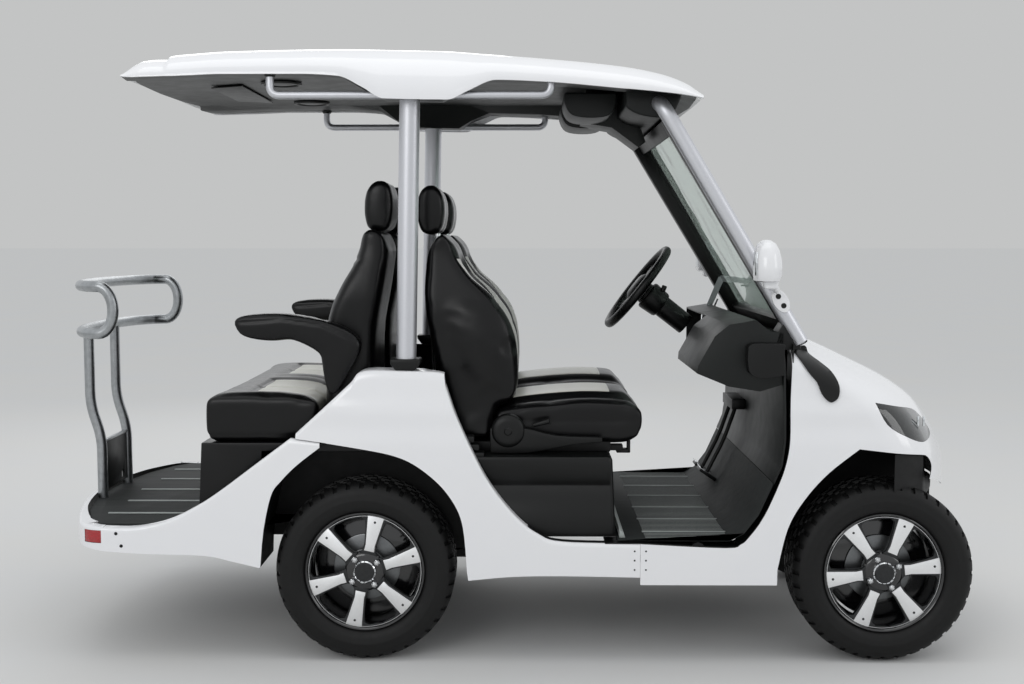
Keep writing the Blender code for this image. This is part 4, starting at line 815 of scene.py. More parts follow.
# rear quarters and tail
rearArch = mm((-790, 308), (-786, 392), (-771, 482), (-752, 550), (-725, 586), (-671, 640), (-581, 709),
    (-426, 683), (-359, 667), (-311, 647), (-262, 614), (-213, 569), (-174, 515), (-151, 461), (-140, 393))
sillLine = mm((-132, 268), (8, 281), (170, 284), (417, 280))
tailLine = mm((-1300, 362), (-1177, 353), (-974, 347), (-882, 328), (-798, 308))
tailTop = mm((-1300, 437), (-1196, 436), (-1093, 457), (-1001, 501), (-919, 555), (-816, 632), (-693, 724))
panelSeam = mm((-693, 724), (-581, 709))
quarterTop = mm((-693, 724), (-581, 826), (-505, 897), (-464, 935), (-330, 935), (-213, 930), (-204, 901),
    (-169, 800), (-119, 689), (-59, 577), (22, 475), (93, 419), (170, 394), (417, 388))
flangeWidth = mm((-600, 30), (-500, 90), (-275, 90), (-250, 45), (-190, 30))
tail = {"x": -1.492, "bow": 0.35, "corner": 0.08}


def lineAt(table, x, column=1):
    if x <= table[0][0]:
        return table[0][column]
    for a, b in zip(table, table[1:]):
        if x <= b[0]:
            return a[column] + (b[column] - a[column]) * (x - a[0]) / (b[0] - a[0])
    return table[-1][column]


def makeQuarter():
    lower = smoothLine(panelSeam + rearArch[7:], 6, (1,)) + smoothLine(sillLine, 4)
    upper = smoothLine(quarterTop, 6, ())
    start, end = -0.676, body["sillSeamX"] - 0.0005
    levels, roll, columns = 16, 5, 260

    def place(u, v):
        x = start + (end - start) * u
        bottom = lineAt(lower, x) + (0.0006 if x < -0.581 else 0.0)
        top = lineAt(upper, x)
        row = round(v * (levels + roll))
        width = sideY(top)
        if row <= levels:
            z = bottom + (top - 0.012 - bottom) * row / levels
            return (x, sideY(z), z)
        angle = math.pi / 2 * (row - levels) / (roll - 1)
        if row < levels + roll:
            return (x, width - 0.01 * (1 - math.cos(angle)), top - 0.012 * (1 - math.sin(angle)))
        return (x, width - 0.01 - lineAt(flangeWidth, x), top + 0.0005)
    panel = gridPiece(columns, levels + roll, place)
    giveWall(panel, body["wall"], (-0.2, 0.0, 0.3))
    left = finishPiece(panel, "rearQuarterLeft", glossWhiteGelcoat, "white_body", "chassis",
        ("rear_quarter_left",), 30)
    # painted shade: the inner faces of the white quarter get the dark second material
    paintShadeInside(left, (-0.1, 0, 0.45), paintedSteel)
    otherSide(left, "rearQuarterRight", ("rear_quarter_right",))


def makeTail():
    lower = smoothLine(tailLine, 4) + smoothLine(rearArch[:7], 5)
    upper = smoothLine(tailTop, 5) + [panelSeam[1]]
    half = body["halfWidth"]
    cornerX = tail["x"] + tail["bow"] * half ** 2
    startX, backY = cornerX + tail["corner"], half - tail["corner"]
    backX = tail["x"] + tail["bow"] * backY ** 2
    side = [(-0.6 + (startX + 0.6) * k / 110, half) for k in range(110)]
    bend = []
    for k in range(20):
        t = k / 20
        a, b, c = (1 - t) ** 2, 2 * t * (1 - t), t * t
        bend.append((startX * a + cornerX * b + backX * c, half * (a + b) + backY * c))
    back = [(tail["x"] + tail["bow"] * y * y, y) for y in (backY * (1 - k / 24) for k in range(24))]
    plan = side + bend + back + [(tail["x"], 0.0)]
    plan += [(x, -y) for x, y in reversed(side + bend + back)]
    levels, roll = 10, 5

    def place(u, v):
        x, y = plan[round(u * (len(plan) - 1))]
        away = max(0.0, -1.3 - x)
        bottom = lineAt(lower, x) + 0.15 * away
        top = lineAt(upper, x) + 0.1 * away - (0.0006 if x > -0.693 else 0.0)
        row = round(v * (levels + roll))
        if row <= levels:
            z = bottom + (top - 0.01 - bottom) * row / levels
            return (x, y * sideY(z) / half, z)
        inset = lineAt(mm((-1450, 12), (-1360, 30), (-800, 30), (-660, 4)), x)
        angle = math.pi / 2 * (row - levels) / (roll - 1)
        reach = 0.008 * (1 - math.cos(angle)) if row < levels + roll else 0.008 + inset
        z = top - 0.01 * (1 - math.sin(angle)) if row < levels + roll else top + 0.0005
        forward = (0.006 if x < -1.3 else 0) * min(1, reach / 0.008) + (inset if row == levels + roll
            and x < -1.36 else 0)
        return (x + forward, y * (1 - reach / half) * sideY(top) / half, z)
    panel = gridPiece(len(plan) - 1, levels + roll, place)
    giveWall(panel, body["wall"], (-1.0, 0, 0.3))
    sockets = [boxBetween((-1.36, low, 0.387), (-1.3, low + 0.25, 0.428)) for low in (0.45, -0.7)]
    cutAway(panel, *sockets)
    finishPiece(panel, "tailSkin", glossWhiteGelcoat, "white_body", "chassis", ("tail_panel",), 30)
    # painted shade: the inner faces of the white tail get the dark second material
    paintShadeInside(panel, (-1.0, 0, 0.4), paintedSteel)


def makeWheelhouses():
    # black pockets that close the arches inwards, hung from the skins
    for name, line, x0, inner, low in (("Rear", rearArch, -0.46, 0.3585, 0.36),
            ("Front", frontArch, 1.11, 0.225, 0.37)):
        middle = Vector((x0, 0.45))
        route = [middle + (Vector(p) - middle) * 1.03 for p in smoothLine(line, 3)]
        count = len(route) - 1

        def place(u, v):
            p = route[round(u * count)]
            y = 0.5885 - (0.5885 - inner) * min(1.0, v / 0.875)
            nose = 1.475 - body["noseBow"] * y * y if y < 0.5 else 1.3445 - 0.16 * ((y - 0.5) / 0.1) ** 2
            # the inner wall closes downwards, and all of it stays behind the nose
            return (min(p.x, nose), -y, min(p.y - 0.001, low) if v > 0.9 else p.y)
        wall = gridPiece(count, 8, place)
        giveWall(wall, 0.002, (x0, -1.5, 0.2))
        right = finishPiece(wall, "wheelhouse" + name + "Right", paintedSteel, "dark_liner")
        otherSide(right, "wheelhouse" + name + "Left")


makeQuarter()
makeTail()
makeWheelhouses()
for side, other in (("left", 1), ("right", -1)):
    lamp = bevelEdges(nodeCopy("tail_lamp_" + side), 0.0015, 2)
    finishPiece(lamp, "tailLamp" + side.title(), redLens, "lamp_red", "chassis", ("tail_lamp_" + side,), 30)
studs = [rodBetween((x, -0.597, z), (x, -0.6008, z), 0.0055, 20, bevel=0.0006)
    for x, z in ((-1.252, 0.418), (-1.236, 0.378))]
pairOf(joined(studs), "tailStuds", "Right", blackAbs, "black_plastic")
seamDots = [rodBetween((0.417 + dx, -0.5985, z), (0.417 + dx, -0.6006, z), 0.003, 12, bevel=0.0005)
    for dx in (-0.018, 0.018) for z in (0.305, 0.335, 0.365)]
pairOf(joined(seamDots), "sillRivets", "Right", blackAbs, "black_plastic")
print("rear body ready")

# roof
roofStations = mm((-1203, 1866, 1857), (-1190, 1885, 1854), (-1168, 1908, 1853), (-1140, 1923, 1854),
    (-1100, 1927, 1855), (-1069, 1927, 1856), (-1061, 1939, 1856), (-1000, 1946, 1858), (-891, 1954, 1862),
    (-643, 1960, 1862), (-530, 1961, 1856), (-455, 1961, 1822), (-390, 1960, 1787), (-190, 1955, 1783),
    (-130, 1950, 1808), (-40, 1942, 1843), (101, 1931, 1838), (349, 1905, 1817), (470, 1880, 1806),
    (545, 1850, 1797), (600, 1808, 1787))
roof = {"halfWidth": 0.6, "wall": 0.006, "frontBow": 0.042, "rearBow": 0.055}


def roofPoint(x, y, z):
    share = 1 - (y / roof["halfWidth"]) ** 2
    if x > 0.1:
        x += roof["frontBow"] * (x - 0.1) / (roofStations[-1][0] - 0.1) * share
    elif x < -0.8:
        x -= roof["rearBow"] * (-0.8 - x) / (-0.8 - roofStations[0][0]) * share
    return (x, y, z)


def makeRoof():
    first, last = roofStations[0][0], roofStations[-1][0]

    def place(u, v):
        w = u * u * (3 - 2 * u) * 0.5 + u * 0.5  # closer columns at both ends
        x = first + (last - first) * w
        top, bottom = smoothAlong(roofStations, x, 1), smoothAlong(roofStations, x, 2)
        s = abs(2 * v - 1)
        if s < 0.4:
            y = s
            z = top + 0.012 * (1 - (y / 0.4) ** 2)
        else:
            angle = math.pi / 2 * (s - 0.4) / 0.6
            y, z = 0.4 + (roof["halfWidth"] - 0.4) * math.sin(angle), bottom + (top
                - bottom) * math.cos(angle)
        return roofPoint(x, y if v > 0.5 else -y, z)
    shell = gridPiece(220, 64, place)
    giveWall(shell, roof["wall"], (-0.3, 0, 1.0))
    finishPiece(shell, "roofSkin", glossWhiteGelcoat, "white_body", "chassis", ("roof_shell",), 40)


def makeRoofLiner():
    liner = bevelEdges(nodeCopy("roof_liner"), 0.004, 3, 25)
    finishPiece(liner, "roofLinerSkin", charcoalLiner, "dark_liner", "chassis", ("roof_liner",), 50)
    for side in (-1, 1):
        place = Matrix.Translation((-0.76, side * 0.3, 1.8685)) @ turnBy(-math.pi / 2, 4, "X")
        speaker = spunProfile(mm((0, 4), (30, 5), (52, 1), (58, -4), (0, -4)), 48, True)
        speaker.data.transform(place)
        dish = spunProfile(mm((56, 2), (60, 6), (66, 6), (68, 0), (64, -4), (57, -4)), 48)
        dish.data.transform(place)
        finishPiece(joined([speaker, dish]), "roofSpeaker" + ("Left" if side > 0 else "Right"), blackAbs,
            "black_plastic")
    panel = outlinePiece(mm((-1020, -200), (-1020, 200), (-900, 260), (-900, -260)), 1.864, 1.868, "XY")
    bevelEdges(panel, 0.0015, 2)
    finishPiece(panel, "roofRearPanel", blackAbs, "black_plastic")


def makeHeader():
    cover = outlinePiece(smoothLine(mm((370, 1835), (370, 1770), (410, 1748), (475, 1738), (520, 1752),
        (545, 1800), (545, 1835)), 3, (0, 1, 6)), -0.485, 0.485)
    finishPiece(bevelEdges(cover, 0.008, 3), "hoopHeader", charcoalLiner, "dark_liner")
    lobe = outlinePiece(smoothLine(mm((180, 1835), (180, 1800), (205, 1762), (270, 1752), (330, 1762),
        (352, 1800), (352, 1835)), 4, (0, 6)), -0.33, -0.06)
    pairOf(bevelEdges(lobe, 0.01, 3), "visorLobe", "Right", charcoalLiner, "dark_liner")


makeRoof()
makeRoofLiner()
makeHeader()
print("roof ready")

# tubes: windscreen hoop, rear posts, roof handles, grab bar
tubes = {"pillarY": 0.52, "pillarTop": (0.4745, 1.785), "pillarFoot": (0.93, 1.024), "postY": 0.515,
    "postFoot": (-0.331, 0.945), "postTopX": -0.314, "handleY": 0.568, "grabX": -1.495}


def makeHoop():
    y, top, foot = tubes["pillarY"], tubes["pillarTop"], tubes["pillarFoot"]
    route = roundedRoute(((foot[0], -y, foot[1]), (top[0], -y, top[1]), (top[0], y, top[1]),
        (foot[0], y, foot[1])), 0.06, 12)
    hoop = bevelEdges(tubeThrough(route, 0.025, rings=7), 0.0012, 1, 60)
    finishPiece(hoop, "windscreenHoop", satinSilverTube, "satin_tube", "chassis", ("front_hoop",), 35)


def makePosts():
    foot, y = tubes["postFoot"], tubes["postY"]
    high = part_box("rear_post_left")[1]
    post = rodBetween((foot[0], y, foot[1]), (tubes["postTopX"], y, high.z), 0.0325, 40)
    pairOf(post, "rearPost", "Left", satinSilverTube, "satin_tube", "rear_post_", 35)
    boot = outlinePiece([(foot[0] - 0.05, 0.972), (foot[0] + 0.05, 0.972), (foot[0] + 0.048, 0.958),
        (foot[0] + 0.032, 0.9358), (foot[0] - 0.032, 0.9358), (foot[0] - 0.048, 0.958)], y - 0.045,
        y + 0.04)
    bevelEdges(boot, 0.006, 3)
    pairOf(boot, "rearPostBoot", "Left", blackAbs, "black_plastic")


def makeHandles():
    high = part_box("roof_handle_left")[1]
    y = tubes["handleY"]
    route = roundedRoute(((-0.745, y, high.z), (-0.745, y, 1.8), (0.13, y, 1.8), (0.13, y, high.z)), 0.055,
        10)
    handle = tubeThrough(route, 0.013, rings=6)
    pairOf(handle, "roofHandle", "Left", satinSilverTube, "satin_tube", "roof_handle_")
    cups = [rodBetween((x, y, high.z), (x, y, high.z - 0.01), 0.02, 28, 0.016, 0.002)
        for x in (-0.745, 0.13)]
    pairOf(joined(cups), "roofHandleCups", "Left", blackAbs, "black_plastic")


def makeGrabBar():
    rear, low, high, radius = tubes["grabX"] + 0.002, 1.041, 1.197, 0.0185
    half = smoothLine([(rear, 0.0), (rear + 0.012, 0.15), (rear + 0.04, 0.285), (rear + 0.09, 0.37)], 5)
    end = (rear + 0.132, 0.392)
    turn = [(end[0] + 0.05 * math.sin(a), end[1], (low + high) / 2 + (high - low) / 2 * math.cos(a))
        for a in (math.pi * k / 16 for k in range(17))]
    left = [(x, y, high) for x, y in half[1:]] + turn + [(x, y, low) for x, y in reversed(half[1:])]
    loop = [(rear, 0.0, high)] + left + [(rear, 0.0, low)] + [(x, -y, z) for x, y, z in reversed(left)]
    pieces = [tubeThrough(loop, radius, True, 7)]
    for side in (-1, 1):
        y = side * 0.14
        route = roundedRoute(((rear + 0.011, y, low), (rear + 0.011, y, 0.77), (rear + 0.048, y, 0.655),
            (rear + 0.048, y, 0.4405)), 0.05, 8)
        pieces.append(tubeThrough(route, radius - 0.001, rings=7))
    finishPiece(joined(pieces), "rearGrabBar", brushedTube, "satin_tube", "chassis",
        ("rear_grab_bar",))
    plate = outlinePiece([(rear + 0.044, 0.462), (rear + 0.052, 0.462), (rear + 0.052, 0.64),
        (rear + 0.044, 0.64)], -0.14, 0.14)
    slot = boxBetween((rear + 0.02, 0.06, 0.47), (rear + 0.08, 0.085, 0.5), 0.006, 2)
    cutAway(plate, slot)
    finishPiece(bevelEdges(plate, 0.0015, 2), "grabBarPlate", blackAbs, "black_plastic")
    rail = boxBetween((rear + 0.041, -0.135, 0.634), (rear + 0.055, 0.135, 0.644), 0.003, 2)
    finishPiece(rail, "grabBarRail", brushedTube, "satin_tube")


makeHoop()
makePosts()
makeHandles()
makeGrabBar()
print("tubes ready")


# padded seats
seat = {"y": 0.27, "width": 0.44, "voxel": 0.0115, "pressure": 4.0, "frames": 20}


def stuffed(piece, cap, voxel=None, shape=None):
    # swells a block into a cushion: even faces, air pressure, then no point further than the cap
    applyModifier(piece, "REMESH", mode="VOXEL", voxel_size=voxel or seat["voxel"])
    start = [v.co.copy() for v in piece.data.vertices]
    scene = bpy.context.scene
    scene.frame_set(1)
    pick(piece)
    cloth = piece.modifiers.new("swell", "CLOTH")
    cloth.settings.use_pressure = True
    cloth.settings.uniform_pressure_force = seat["pressure"]
    cloth.settings.effector_weights.gravity = 0
    cloth.settings.quality = 4
    cloth.point_cache.frame_start = 1
    cloth.point_cache.frame_end = seat["frames"]
    for number in range(1, seat["frames"] + 1):
        scene.frame_set(number)
    bpy.ops.object.modifier_apply(modifier=cloth.name)
    scene.frame_set(1)
    for vertex, before in zip(piece.data.vertices, start):
        moved = vertex.co - before
        if moved.length > cap:
            vertex.co = before + moved.normalized() * cap
    applyModifier(piece, "SMOOTH", factor=0.5, iterations=6)
    if shape:
        for vertex in piece.data.vertices:
            vertex.co = shape(vertex.co.copy())
    applyModifier(piece, "SUBSURF", levels=1, render_levels=1)
    return piece


def seam(value, centre, width):
    # 1 in the middle of a sewn line, falling off to both sides
    return math.exp(-((value - centre) / width) ** 2)


def padPiece(piece, name, material, instead=()):
    finishPiece(piece, name, material, "black_vinyl", "chassis", instead, 60)
    return piece


def padPair(block, name, first, vinylFor, node=""):
    # a pad and its mirror image, each in the vinyl of its own side
    second = "Left" if first == "Right" else "Right"
    stands = [(node + side.lower(),) if node else () for side in (first, second)]
    pad = padPiece(block, name + first, vinylFor(first), stands[0])
    twin = otherSide(pad, name + second, stands[1])
    dress(twin, vinylFor(second))


def plainVinyl(side):
    return blackVinyl


def sewnVinyl(part, bands, limits, hexColour):
    # the vinyl of a front seat; its bands are given from the middle of the seat
    def forSide(side):
        y = -seat["y"] if side == "Right" else seat["y"]
        return banded(vinyl(part + side), [(y + centre, half) for centre, half in bands], limits, hexColour)
    return forSide


def makeFrontSeat():
    y = -seat["y"]
    half = seat["width"] / 2
    outline = smoothLine(mm((-55, 700), (375, 699), (432, 727), (442, 772), (430, 803), (378, 818),
        (245, 824), (80, 812), (-55, 792)), 4, (0, 8))
    block = bevelEdges(outlinePiece(outline, y - half + 0.006, y + half - 0.006), 0.02, 3)

    def cushionShape(co):
        dy = abs(co.y - y)
        top = easeBetween(co.z, 0.765, 0.8)
        dip = -0.017 * (1 - easeBetween(dy, 0.11, 0.15)) * easeBetween(co.x, -0.08, 0.02)
        dip *= 1 - easeBetween(co.x, 0.37, 0.42)
        dip += 0.006 * seam(dy, 0.15, 0.007)
        crown = 0.006 * math.cos(min(1, dy / 0.14) * math.pi / 2)
        side = 0.0035 * (seam(co.z, 0.762, 0.005) if dy > half - 0.03 or co.x > 0.4 else 0)
        co.z -= top * (dip - crown * (dy < 0.14))
        co.y += side if co.y < y else -side
        return co
    cushionVinyl = sewnVinyl("cushionVinyl", ((0, 0.118),),
        ((1, 0, 0.0), (-1, 0, -0.33), (0, 1, 0.765)), "#DAD8CF")
    padPair(stuffed(block, 0.012, shape=cushionShape), "frontCushionPad", "Right", cushionVinyl,
        "front_cushion_")

    contour = smoothLine(mm((-62, 700), (-52, 812), (4, 826), (18, 870), (16, 996), (-4, 1071), (-36, 1129),
        (-79, 1182), (-133, 1236), (-176, 1298), (-208, 1376), (-238, 1368), (-258, 1310), (-262, 1107),
        (-192, 790), (-172, 700)), 4, (0, 1, 15))
    block = bevelEdges(outlinePiece(contour, y - half + 0.006, y + half - 0.006), 0.022, 3)

    def backShape(co):
        dy = abs(co.y - y)
        backX = lineAt(mm((700, -180), (790, -195), (1107, -262), (1345, -245)), co.z)
        frontX = lineAt(mm((700, -60), (830, 10), (996, 16), (1071, -4), (1129, -36), (1182, -79),
            (1236, -133), (1298, -176), (1352, -204)), co.z)
        share = easeBetween(co.x, backX + 0.4 * (frontX - backX), backX + 0.8 * (frontX - backX))
        inner = easeBetween(co.z, 0.83, 0.9) * (1 - easeBetween(co.z, 1.255, 1.315))
        dip = 0.03 * (1 - easeBetween(dy, 0.12, 0.165)) * inner + 0.006 * seam(dy, 0.15, 0.007) * inner
        dip += 0.007 * sum(seam(co.z, level, 0.008) for level in (0.93, 1.0, 1.07,
            1.14)) * (dy < 0.14) * inner
        co.x -= share * dip
        taper = 1 - 0.16 * easeBetween(co.z, 1.1, 1.36)
        co.y = y + (co.y - y) * taper
        return co
    backVinyl = sewnVinyl("backrestVinyl", ((-0.15, 0.013), (0.15, 0.013)),
        ((1, 0.36, 0.262), (0, -1, -1.29), (1, 0.72, 0.64)), "#E2E1DC")
    padPair(stuffed(block, 0.012, shape=backShape), "frontBackrestPad", "Right", backVinyl,
        "front_backrest_")

    head = smoothLine(mm((-305, 1420), (-300, 1500), (-270, 1530), (-235, 1520), (-215, 1470), (-222, 1392),
        (-250, 1368), (-290, 1376), (-305, 1420)), 4)[:-1]
    block = bevelEdges(outlinePiece(head, y - 0.118, y + 0.118), 0.026, 4)
    headVinyl = sewnVinyl("headrestVinyl", ((-0.07, 0.01), (0.07, 0.01)), ((1, 0, -0.25),), "#BDBDBB")
    padPair(stuffed(block, 0.01, 0.008), "frontHeadrestPad", "Right", headVinyl)
    stalks = [rodBetween((-0.232, y + s * 0.05, 1.3), (-0.255, y + s * 0.05, 1.42), 0.007, 20)
        for s in (-1, 1)]
    pairOf(joined(stalks), "frontHeadrestStalks", "Right", chromePlate, "satin_tube")


def makeFrontSeatFrame():
    y = -seat["y"]
    outer = y - seat["width"] / 2
    runner = boxBetween((-0.18, y - 0.19, 0.6604), (0.33, y + 0.19, 0.6944), 0.004, 2)
    rails = [boxBetween((-0.16, y + s - 0.018, 0.661), (0.372, y + s + 0.018, 0.68), 0.003, 2)
        for s in (-0.15, 0.15)]
    pairOf(joined([runner] + rails), "seatRunners", "Right", paintedSteel, "black_plastic", "seat_frame_")
    cover = spunProfile(mm((0, -2), (30, -4), (47, -1), (53, 6), (55, 14), (55, 26), (0, 26)), 56,
        open_=True)
    cover.data.transform(Matrix.Translation((-0.004, outer - 0.028, 0.736)))
    dimple = spunProfile(mm((0, -3), (10, -3), (13, 0), (13, 6), (0, 6)), 32, open_=True)
    dimple.data.transform(Matrix.Translation((-0.004, outer - 0.032, 0.736)))
    skirt = outlinePiece(smoothLine(mm((-62, 664), (60, 664), (200, 690), (300, 700), (300, 716),
        (150, 722), (50, 745), (-62, 745)), 3, (0, 3, 4, 7)), outer - 0.022, outer - 0.0005)
    bevelEdges(skirt, 0.004, 2)
    pairOf(joined([cover, dimple, skirt]), "seatReclinerCover", "Right", blackAbs, "black_plastic")


belt = {"width": 0.046, "thickness": 0.0016, "length": 0.64, "foot": (-0.262, 0.7), "apart": 0.045}


def makeBelts():
    # webbing from the reel beside each front seat up to its shoulder, and the ribbed reel covers
    pieces = []
    for side in (-1, 1):
        x, z = belt["foot"]
        route = [Vector((x - 0.02 * math.sin(math.pi * k / 20), side * belt["apart"],
            z + belt["length"] * k / 20)) for k in range(21)]
        pieces.append(stripThrough(route, belt["width"], belt["thickness"]))
    finishPiece(joined(pieces), "beltWebbing", beltWeave, "black_vinyl")
    ribs = []
    for k in range(6):
        ribs.append(boxBetween((-0.186 + 0.016 * k, -0.548, 0.704 - 0.026 * k),
            (-0.112 + 0.016 * k, -0.5, 0.724 - 0.026 * k), 0.004, 2))
    pairOf(joined(ribs), "reelCover", "Right", blackAbs, "black_plastic")
    lever = joined([rodBetween((0.075, -0.494, 0.752), (0.13, -0.5, 0.768), 0.0065, 16, 0.009, 0.003),
        boxBetween((0.352, -0.42, 0.65), (0.398, -0.38, 0.662), 0.003, 2),
        boxBetween((0.388, -0.42, 0.65), (0.398, -0.38, 0.698), 0.003, 2)])
    pairOf(lever, "seatLever", "Right", blackAbs, "black_plastic")


def makeRearBench():
    outline = smoothLine(mm((-974, 706), (-612, 706), (-612, 830), (-760, 848), (-962, 842), (-984, 812),
        (-985, 730)), 4, (0, 1, 2))
    block = bevelEdges(outlinePiece(outline, -0.534, 0.534), 0.02, 3)

    def benchShape(co):
        away = abs(co.y)
        top = easeBetween(co.z, 0.78, 0.825)
        inside = easeBetween(co.x, -0.885, -0.835)
        dip = 0.01 * inside * easeBetween(away, 0.055, 0.09) * (1 - easeBetween(away, 0.445, 0.48))
        dip += 0.007 * inside * seam(away, 0.275, 0.01) + 0.007 * seam(away, 0.0, 0.01) * inside
        dip += 0.006 * seam(co.x, -0.845, 0.008) * easeBetween(away, 0.07, 0.1) * (away < 0.47)
        co.z -= dip * top
        if away > 0.5 or co.x < -0.95:
            pull = 0.004 * seam(co.z, 0.722, 0.004)
            co.y -= math.copysign(pull, co.y) if away > 0.5 else 0
            co.x += pull if co.x < -0.95 else 0
        return co
    seatVinyl = banded(vinyl("benchVinyl"), ((0.268, 0.184), (-0.268, 0.184)),
        ((1, 0, -0.838), (0, 1, 0.79)), "#D6D5C8")
    padPiece(stuffed(block, 0.014, shape=benchShape), "rearBenchPad", seatVinyl, ("rear_cushion",))

    outline = smoothLine(mm((-594, 706), (-600, 900), (-596, 1080), (-552, 1192), (-509, 1267),
        (-484, 1325), (-470, 1386), (-432, 1390), (-406, 1350), (-427, 1203), (-455, 1011), (-451, 706)), 4,
        (0, 11))
    block = bevelEdges(outlinePiece(outline, 0.056, 0.456), 0.022, 3)

    def backShape(co):
        dy = abs(co.y - 0.256)
        front = lineAt(mm((700, -594), (900, -600), (1080, -596), (1192, -552), (1267, -509), (1315, -484),
            (1362, -470)), co.z)
        share = 1 - easeBetween(co.x, front + 0.03, front + 0.08)
        dip = 0.02 * (1 - easeBetween(dy, 0.11, 0.15)) * (1 - easeBetween(co.z, 1.22,
            1.28)) + 0.006 * seam(dy, 0.135, 0.008)
        dip += 0.006 * sum(seam(co.z, level, 0.008) for level in (0.96, 1.04, 1.12)) * (dy < 0.13)
        dip += 0.006 * seam(co.z, 1.285, 0.006)
        co.x += share * dip
        co.y = 0.256 + (co.y - 0.256) * (1 - 0.14 * easeBetween(co.z, 1.15, 1.36))
        return co
    padPair(stuffed(block, 0.012, shape=backShape), "rearBackrestPad", "Left", plainVinyl,
        "rear_backrest_")

    head = smoothLine(mm((-482, 1440), (-478, 1500), (-455, 1538), (-420, 1546), (-392, 1520), (-388, 1440),
        (-402, 1388), (-440, 1378), (-472, 1392), (-482, 1440)), 4)[:-1]
    block = bevelEdges(outlinePiece(head, 0.142, 0.37), 0.026, 4)
    padPair(stuffed(block, 0.01, 0.008), "rearHeadrestPad", "Left", plainVinyl)
    stalks = [rodBetween((-0.44, y, 1.3), (-0.437, y, 1.42), 0.007, 20) for y in (0.206, 0.306)]
    pairOf(joined(stalks), "rearHeadrestStalks", "Left", chromePlate, "satin_tube")

    arm = smoothLine(mm((-886, 1092), (-860, 1050), (-768, 1026), (-697, 1023), (-620, 985), (-602, 947),
        (-582, 872), (-560, 852), (-532, 886), (-475, 1000), (-500, 1056), (-601, 1100), (-732, 1122),
        (-826, 1120), (-872, 1110), (-886, 1092)), 4)[:-1]
    block = bevelEdges(outlinePiece(arm, 0.466, 0.524), 0.014, 3)

    def armShape(co):
        groove = 0.0035 * seam(co.z - lineAt(mm((-870, 1085), (-730, 1098), (-600, 1080), (-500, 1035)),
            co.x), 0, 0.004)
        co.y += groove if co.y < 0.495 else -groove
        return co
    padPair(stuffed(block, 0.008, 0.007, armShape), "rearArmrestPad", "Left", plainVinyl,
        "rear_armrest_")
    base = bevelEdges(nodeCopy("rear_seat_base"), 0.01, 3, 40)
    finishPiece(base, "rearSeatBaseSkin", blackVinyl, "black_vinyl", "chassis", ("rear_seat_base",), 40)


makeFrontSeat()
makeFrontSeatFrame()
makeBelts()
makeRearBench()
print("seats ready")


# floor, deck, pod
def makeFloor():
    pan = bevelEdges(nodeCopy("floor_pan"), 0.003, 2)
    finishPiece(pan, "floorPanSkin", rubberMat, "floor_mat", "chassis", ("floor_pan",))
    strips = [boxBetween((0.432, y - 0.006, 0.3995), (0.705, y + 0.006, 0.403), 0.0015, 2)
        for y in (-0.48, -0.29, -0.1, 0.1, 0.29, 0.48)]
    strips += [boxBetween((0.436, y - 0.001, 0.3995), (0.7, y + 0.001, 0.4012))
        for y in [-0.56 + 0.0187 * k for k in range(61)]]
    finishPiece(joined(strips), "floorStrips", paleStrip, "floor_mat")
    lip = outlinePiece(mm((352, 400.5), (372, 400.5), (366, 418), (352, 430)), -0.57, 0.57)
    finishPiece(bevelEdges(lip, 0.003, 2), "floorRearLip", paleStrip, "floor_mat")
    deck = bevelEdges(nodeCopy("rear_deck"), 0.0025, 2)
    finishPiece(deck, "rearDeckSkin", rubberMat, "floor_mat", "chassis", ("rear_deck",))
    strips = []
    for y in (-0.4, -0.2, 0.0, 0.2, 0.4):
        rear = tail["x"] + 0.095 + tail["bow"] * y * y + (0.045 if abs(y) < 0.3 else 0)
        strips.append(boxBetween((rear, y - 0.006, 0.4395), (-1.012, y + 0.006, 0.4432), 0.0015, 2))
    finishPiece(joined(strips), "rearDeckStrips", paleStrip, "floor_mat")


def makePod():
    pod = bevelEdges(nodeCopy("seat_pod"), 0.006, 3, 50)
    groove = [boxBetween((-0.2, side * 0.556 - 0.0025, 0.566), (0.345, side * 0.556 + 0.0025, 0.57))
        for side in (-1, 1)]
    cutAway(pod, *groove)
    finishPiece(pod, "seatPodSkin", blackAbs, "black_plastic", "chassis", ("seat_pod",), 40)


makeFloor()
makePod()
print("floor and pod ready")


# dash, steering, pedals, mirrors, screen
steer = {"centre": Vector((0.479, 0.27, 1.172)), "tilt": math.radians(38), "radius": 0.175}


def makeSteeringWheel():
    grip = tubeThrough([(steer["radius"] * math.cos(a), steer["radius"] * math.sin(a), 0)
        for a in (2 * math.pi * k / 72 for k in range(72))], 0.0165, True, 6)
    hub = spunProfile(mm((0, 20), (42, 17), (56, 8), (62, -10), (52, -27), (0, -27)), 48, open_=True)
    hub.data.transform(turnBy(math.pi / 2, 4, "X"))
    spokes = []
    for angle, width in ((0, 0.032), (140, 0.028), (220, 0.028)):
        spoke = outlinePiece(smoothLine([(0.03, width * 0.9), (0.08, width * 0.55), (0.168, width * 0.62),
            (0.168, -width * 0.62), (0.08, -width * 0.55), (0.03, -width * 0.9)], 3, (0, 2, 3, 5)), -0.013,
            -0.003, "XY")
        bevelEdges(spoke, 0.003, 2)
        spoke.data.transform(turnBy(math.radians(angle), 4, "Z"))
        spokes.append(spoke)
    wheelPiece = joined([grip, hub] + spokes)
    down = Vector((math.cos(steer["tilt"]), 0, -math.sin(steer["tilt"])))
    turn = (-down).to_track_quat("Z", "Y").to_matrix().to_4x4()
    wheelPiece.data.transform(Matrix.Translation(steer["centre"]) @ turn)
    finishPiece(wheelPiece, "steeringWheelSkin", blackAbs, "black_plastic", "steering_wheel",
        ("steering_wheel",))


